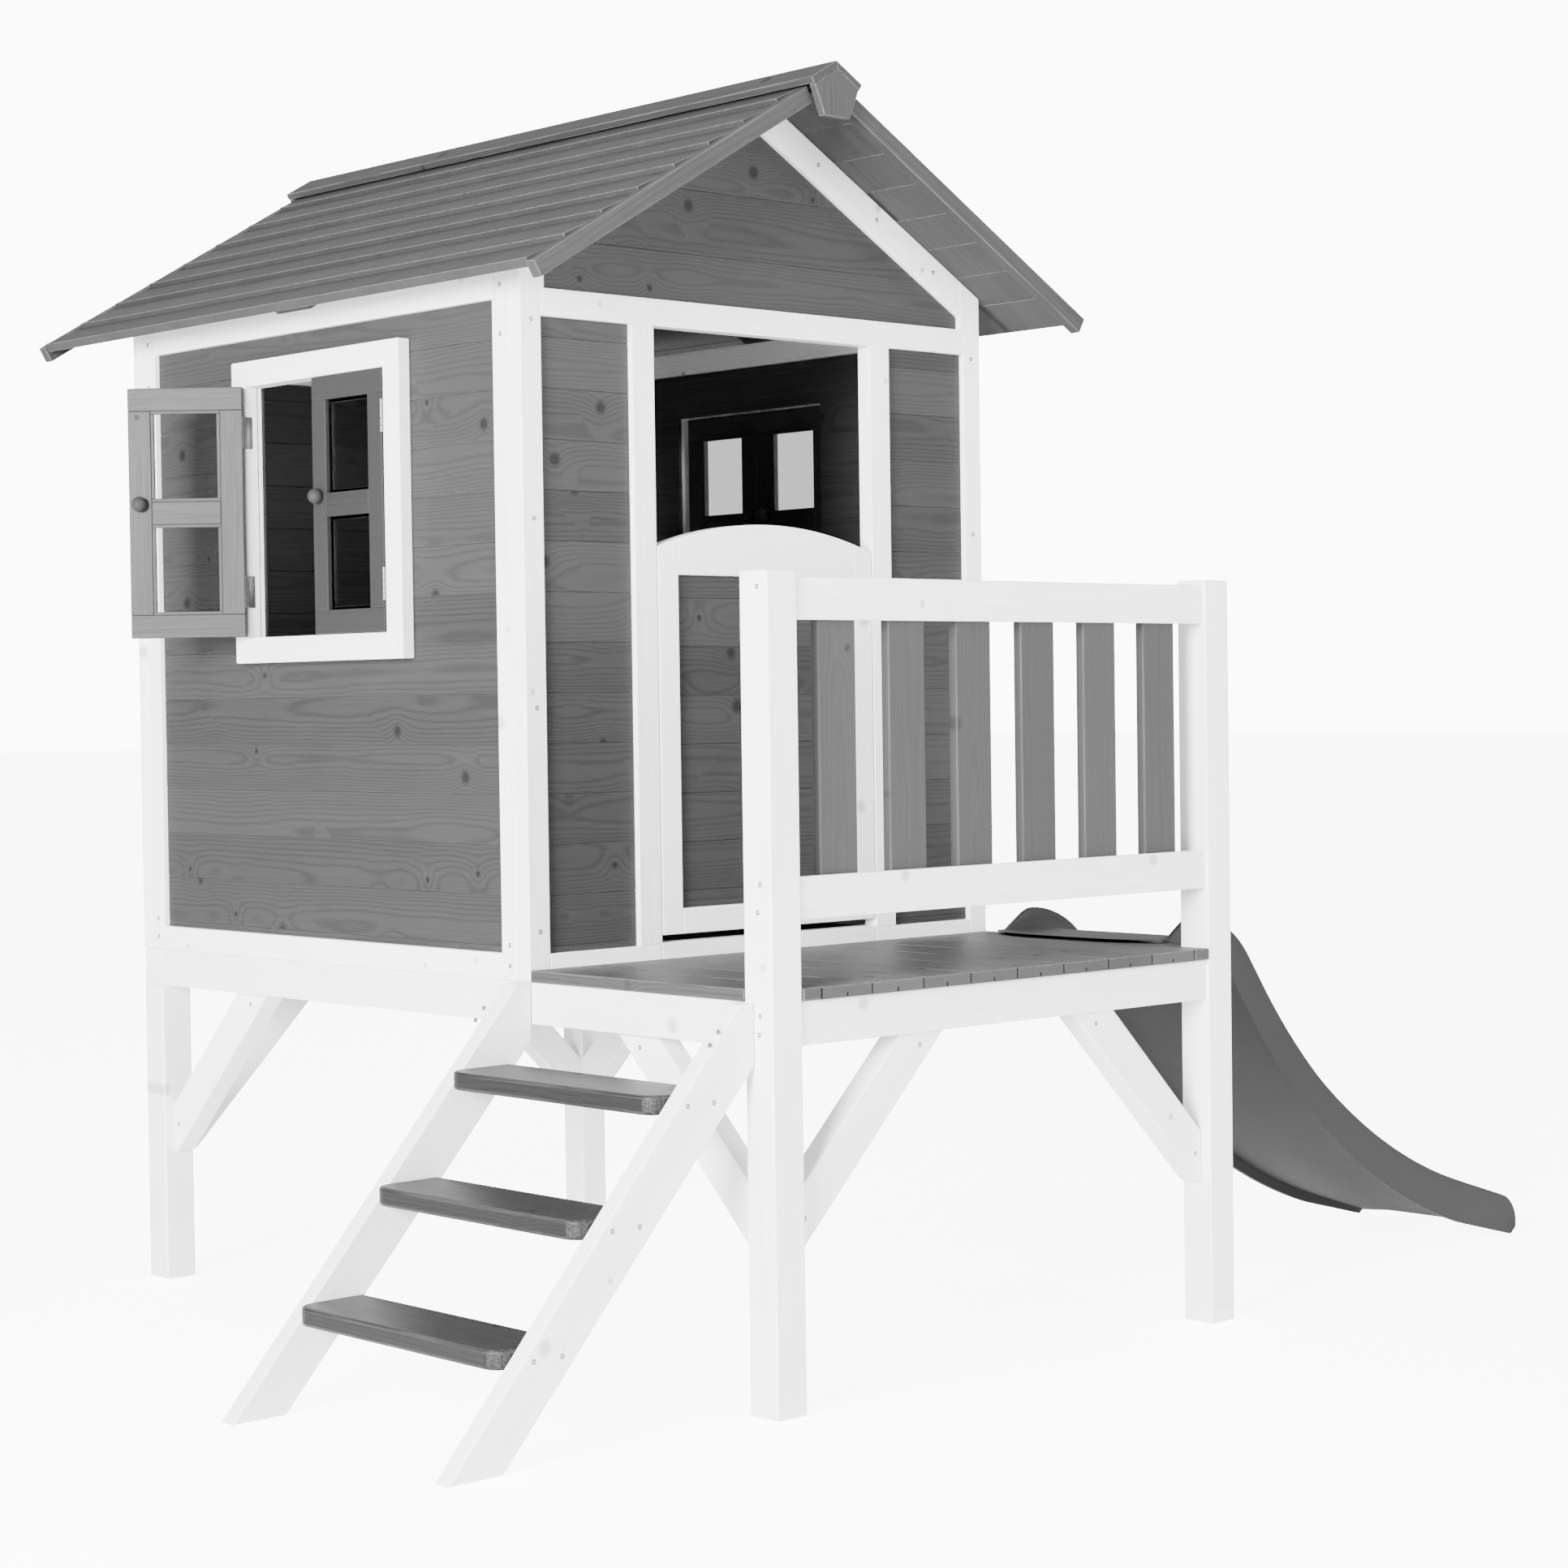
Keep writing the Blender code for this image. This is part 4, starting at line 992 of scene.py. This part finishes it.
slideLook = {
    "middle": -0.219, "topHalf": 0.173, "footHalf": 0.166, "skin": 0.006, "wall": 0.009,
    "wallHigh": 0.033, "endWall": 0.047, "skirt": 0.021, "cove": 0.048, "wallLean": 0.004,
    "growthStart": 0.45, "growthSpan": 0.40, "lip": 0.0045, "lipReach": 0.063,
    "edgeGap": 0.0015, "entryBow": 0.041, "crestOut": 0.052, "crestRadius": 0.136,
    "steepest": math.radians(54), "runoutRadius": 1.10, "footSlope": math.radians(17),
    "footRun": 0.145, "footHigh": 0.014, "footBow": 0.066, "footCorner": 0.140,
    "bowReach": 0.055, "floorShares": (0.13, 0.27, 0.4, 0.55, 0.7, 0.85),
}


def slidePath():
    s = slideLook
    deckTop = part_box("deck_boards")[1].z
    start = deckTop + house["gap"] + s["lip"]
    steep = s["steepest"]
    foot = s["footSlope"]
    crestDrop = s["crestRadius"] * (1 - math.cos(steep))
    runoutDrop = s["runoutRadius"] * (math.cos(foot) - math.cos(steep))
    footDrop = s["footRun"] * math.tan(foot)
    straightDrop = start - s["footHigh"] - crestDrop - runoutDrop - footDrop
    straightRun = straightDrop / math.tan(steep)
    edge = house["width"] + s["edgeGap"]
    points = []
    crestX = house["width"] + s["crestOut"]
    lipSteps = 16
    for step in range(lipSteps):
        x = edge - s["lipReach"] + (crestX - edge + s["lipReach"]) * step / lipSteps
        points.append((x, start, 0.0))
    for step in range(21):
        angle = steep * step / 20
        points.append(
            (crestX + s["crestRadius"] * math.sin(angle),
             start - s["crestRadius"] * (1 - math.cos(angle)), angle)
        )
    x, z, angle = points[-1]
    for step in range(1, 4):
        share = step / 3
        points.append((x + straightRun * share, z - straightDrop * share, steep))
    x, z, angle = points[-1]
    for step in range(1, 41):
        angle = steep + (foot - steep) * step / 40
        points.append(
            (x + s["runoutRadius"] * (math.sin(steep) - math.sin(angle)),
             z - s["runoutRadius"] * (math.cos(angle) - math.cos(steep)), angle)
        )
    x, z, angle = points[-1]
    for step in range(1, 25):
        run = s["footRun"] * (1 - (1 - step / 24) ** 1.8)
        points.append((x + run, z - run * math.tan(foot), foot))
    return points


def makeSlide():
    s = slideLook
    path = slidePath()
    lengths = [0.0]
    for one, two in zip(path, path[1:]):
        lengths.append(lengths[-1] + math.hypot(two[0] - one[0], two[1] - one[1]))
    end = path[-1][0]
    width = house["width"]
    bm = bmesh.new()
    rings = []
    for (x, z, angle), travelled in zip(path, lengths):
        share = travelled / lengths[-1]
        halfLow = s["topHalf"] + (s["footHalf"] - s["topHalf"]) * share
        start = width - s["lipReach"] + s["entryBow"]
        rise = min(1.0, max(0.0, (x - start) / (width + s["crestOut"] - start)))
        rise = rise * rise * (3 - 2 * rise)
        growth = min(1.0, max(0.0, (share - s["growthStart"]) / s["growthSpan"]))
        wall = s["wallHigh"] + (s["endWall"] - s["wallHigh"]) * growth
        toEnd = end - x
        rounding = min(1.0, toEnd / s["endWall"])
        wall *= rise * math.sqrt(max(0.0, 1 - (1 - rounding) ** 2))
        past = min(1.0, max(0.0, (x - width - s["edgeGap"]) / s["skirt"]))
        fromFoot = min(1.0, toEnd / s["footRun"])
        footSkirt = s["footHigh"] * math.cos(angle)
        down = footSkirt + (s["lip"] + (s["skirt"] - s["lip"]) * past - footSkirt) * fromFoot
        under = min(down, s["lip"] + (s["skin"] - s["lip"]) * past)
        upX = math.sin(angle)
        upZ = math.cos(angle)
        bowing = max(0.0, 1 - toEnd / s["bowReach"]) ** 2

        def at(across, up):
            px = x + upX * up
            if x < width:
                side = min(1.0, abs(across) / s["topHalf"])
                px += s["entryBow"] * side**4 * (width - x) / s["lipReach"]
            px += s["footBow"] * max(0.0, 1 - (across / s["footCorner"]) ** 2) * bowing
            return origin + Vector((px, s["middle"] + across, z + upZ * up))

        rim = min(s["wall"] / 2, max(0.0002, wall / 2))
        top = max(wall, 0.0004)
        innerLow = halfLow - s["wall"]
        floorHalf = innerLow - s["cove"]
        halfMiddle = halfLow + (s["topHalf"] - halfLow) * 0.5
        half = [(halfLow, -down), (halfMiddle, (top - rim - down) / 2)]
        for step in range(7):
            turn = math.pi * step / 6
            across = s["topHalf"] - rim + rim * math.cos(turn)
            half.append((across, top - rim + rim * math.sin(turn)))
        topInner = (s["topHalf"] - 2 * rim, top - rim)
        corner = (innerLow - s["wallLean"], 0.0)
        for step in range(1, 9):
            t = step / 8
            half.append([
                (1 - t) ** 2 * one + 2 * t * (1 - t) * two + t * t * three
                for one, two, three in zip(topInner, corner, (floorHalf, 0.0))
            ])
        half += [(floorHalf * part, 0.0) for part in s["floorShares"][::-1]]
        below = [(floorHalf * part, -under) for part in s["floorShares"] + (1.0,)]
        below += [(innerLow - s["wallLean"], -under), (innerLow, -down)]
        section = half + [(0.0, 0.0)] + [(-a, u) for a, u in half[::-1]]
        section += [(-a, u) for a, u in below[::-1]] + [(0.0, -under)] + below
        rings.append([bm.verts.new(at(a, u)) for a, u in section])
    count = len(rings[0])
    for one, two in zip(rings, rings[1:]):
        for number in range(count):
            after = (number + 1) % count
            bm.faces.new((one[number], one[after], two[after], two[number]))
    bm.faces.new(rings[0][::-1])
    bm.faces.new(rings[-1])
    bmesh.ops.triangulate(bm, faces=[face for face in bm.faces if len(face.verts) > 4])
    bmesh.ops.recalc_face_normals(bm, faces=bm.faces[:])
    bench = Bench()
    bench.take(bm, axes["x"], axes["z"], smooth=True)
    makePiece("slide_shell", bench, "mouldedPlastic", replaces=["slide"])


def makeScrews():
    look = screwLook
    bench = Bench()
    width = house["width"]
    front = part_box("post_front_left")[0].y - house["front"]
    for x in (0.0, width):
        way = -1 if x == 0.0 else 1
        for z in look["postSides"]:
            y = front + look["postIn"] + look["stagger"] * math.sin(z * 40)
            screwHead(bench, (x, y, z), (way, 0, 0))
    for x in (look["cornerIn"], width - look["cornerIn"]):
        for z in look["frontCorners"]:
            screwHead(bench, (x, 0.0, z), (0, -1, 0))
        for z in look["backCorners"]:
            screwHead(bench, (x, house["depth"], z), (0, 1, 0))
    for y in (look["sideCornerIn"], house["depth"] - look["sideCornerIn"]):
        for x, way in ((0.0, -1), (width, 1)):
            for z in look["sideCorners"]:
                screwHead(bench, (x, y, z), (way, 0, 0))
    for share in look["rafterShares"]:
        for turn in (1, -1):
            x = middle - turn * (middle - framing["gablePost"] - 0.010) * (1 - share)
            screwHead(bench, (x, 0.0, rafterLine(x) - look["rafterDrop"]), (0, -1, 0))
    makePiece("frame_screws", bench, "zincPlate")

    bench = Bench()
    for node, side in (("ladder_stringer_front", -1), ("ladder_stringer_rear", 1)):
        low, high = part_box(node)
        face = (low.y if side < 0 else high.y) - house["front"]
        for number in (1, 2, 3):
            treadLow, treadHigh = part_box(f"ladder_tread_{number}")
            z = (treadLow.z + treadHigh.z) / 2
            if side > 0 and z > look["rearHighest"]:
                continue
            for share in look["treadShares"]:
                x = treadLow.x + (treadHigh.x - treadLow.x) * share - house["left"]
                screwHead(bench, (x, face, z), (0, side, 0))
        for x, z in look["stringerTops"]:
            screwHead(bench, (x, face, z), (0, side, 0))
    makePiece("ladder_screws", bench, "zincPlate")

    bench = Bench()
    for end, way in (("front", -1), ("back", 1)):
        for side in ("left", "right"):
            low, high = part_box(f"brace_{end}_{side}_x")
            face = (low.y if way < 0 else high.y) - house["front"]
            legX = (low.x if side == "left" else high.x) - house["left"]
            inward = 1 if side == "left" else -1
            footIn, footUp = look["braceFoot"]
            headIn, headDown = look["braceHead"]
            for away, z in ((footIn, low.z + footUp), (headIn, high.z - headDown)):
                screwHead(bench, (legX + inward * away, face, z), (0, way, 0))
            low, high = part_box(f"brace_{end}_{side}_y")
            face = (low.x if side == "left" else high.x) - house["left"]
            start = (low.y if end == "front" else high.y) - house["front"]
            for away, z in ((footIn, low.z + footUp), (headIn, high.z - headDown)):
                screwHead(bench, (face, start - way * away, z), (-inward, 0, 0))
    makePiece("brace_screws", bench, "zincPlate")


makeUnderframe()
print("legs, beams and braces eased")
makeDeck()
print("deck laid")
makeWalls()
print("walls boarded")
makeDoor()
for wallSide in ("left", "right"):
    for wallEnd in ("front", "rear"):
        makeShutter(f"shutter_{wallSide}_{wallEnd}", wallSide, wallEnd)
print("door and shutters hung")
makeRoof()
print("roof laid")
makeRailing()
makeLadder()
makeSlide()
makeScrews()
print("railing, ladder, slide and screws fitted")

studio = {
    "floorHalf": 60.0, "floor": 0.90, "glow": 8.0, "glowShare": 0.10,
    "world": 1.0, "backdrop": 11.0,
    "camera": (-3.474483, -3.866388, 0.945302), "turn": -42.857, "down": 1.518, "roll": -0.785,
    "lens": 72.116,
    "key": {"place": (-5.6, -2.2, 1.9), "aim": (0.0, -0.1, 0.9), "size": 2.2, "watts": 1500.0},
    "fill": {"place": (1.5, -6.4, 1.8), "aim": (0.2, 0.0, 0.8), "size": 4.0, "watts": 520.0},
}


def makeStudio():
    half = studio["floorHalf"]
    mesh = bpy.data.meshes.new("studio_floor")
    corners = [(-half, -half, 0.0), (half, -half, 0.0), (half, half, 0.0), (-half, half, 0.0)]
    mesh.from_pydata(corners, [], [(0, 1, 2, 3)])
    floor = bpy.data.objects.new("studio_floor", mesh)
    floor.location.z = -0.0005
    bpy.context.scene.collection.objects.link(floor)
    g = Graph("paleFloor")
    seen = g.out(g.add("ShaderNodeLightPath"), "Is Camera Ray")
    glow = g.blend(seen, grey(studio["glowShare"]), grey(1.0))
    plain = {
        "Base Color": grey(studio["floor"]), "Roughness": 0.9, "Emission Strength": studio["glow"],
    }
    mesh.materials.append(g.finish(plain, {"Emission Color": glow}))

    world = bpy.data.worlds.new("softWorld")
    world.use_nodes = True
    tree = world.node_tree
    backdrop = tree.nodes["Background"]
    backdrop.inputs[0].default_value = grey(1.0)
    seen = tree.nodes.new("ShaderNodeLightPath")
    glow = tree.nodes.new("ShaderNodeMapRange")
    glow.inputs[3].default_value = studio["world"]
    glow.inputs[4].default_value = studio["backdrop"]
    tree.links.new(seen.outputs["Is Camera Ray"], glow.inputs[0])
    tree.links.new(glow.outputs[0], backdrop.inputs[1])
    bpy.context.scene.world = world

    for name in ("key", "fill"):
        setup = studio[name]
        lamp = bpy.data.lights.new(name, "AREA")
        lamp.shape = "DISK"
        lamp.size = setup["size"]
        lamp.energy = setup["watts"]
        holder = bpy.data.objects.new(name, lamp)
        holder.location = setup["place"]
        aim = Vector(setup["aim"]) - Vector(setup["place"])
        holder.rotation_euler = aim.to_track_quat("-Z", "Y").to_euler()
        bpy.context.scene.collection.objects.link(holder)

    camera = bpy.data.cameras.new("camera")
    camera.lens = studio["lens"]
    camera.sensor_width = 36.0
    camera.clip_end = 200.0
    eye = bpy.data.objects.new("camera", camera)
    eye.location = studio["camera"]
    looking = Euler((math.radians(90 - studio["down"]), 0.0, math.radians(studio["turn"])))
    eye.rotation_mode = "QUATERNION"
    eye.rotation_quaternion = looking.to_quaternion() @ Euler(
        (0.0, 0.0, math.radians(studio["roll"]))
    ).to_quaternion()
    bpy.context.scene.collection.objects.link(eye)
    bpy.context.scene.camera = eye


makeStudio()
print("studio lit")
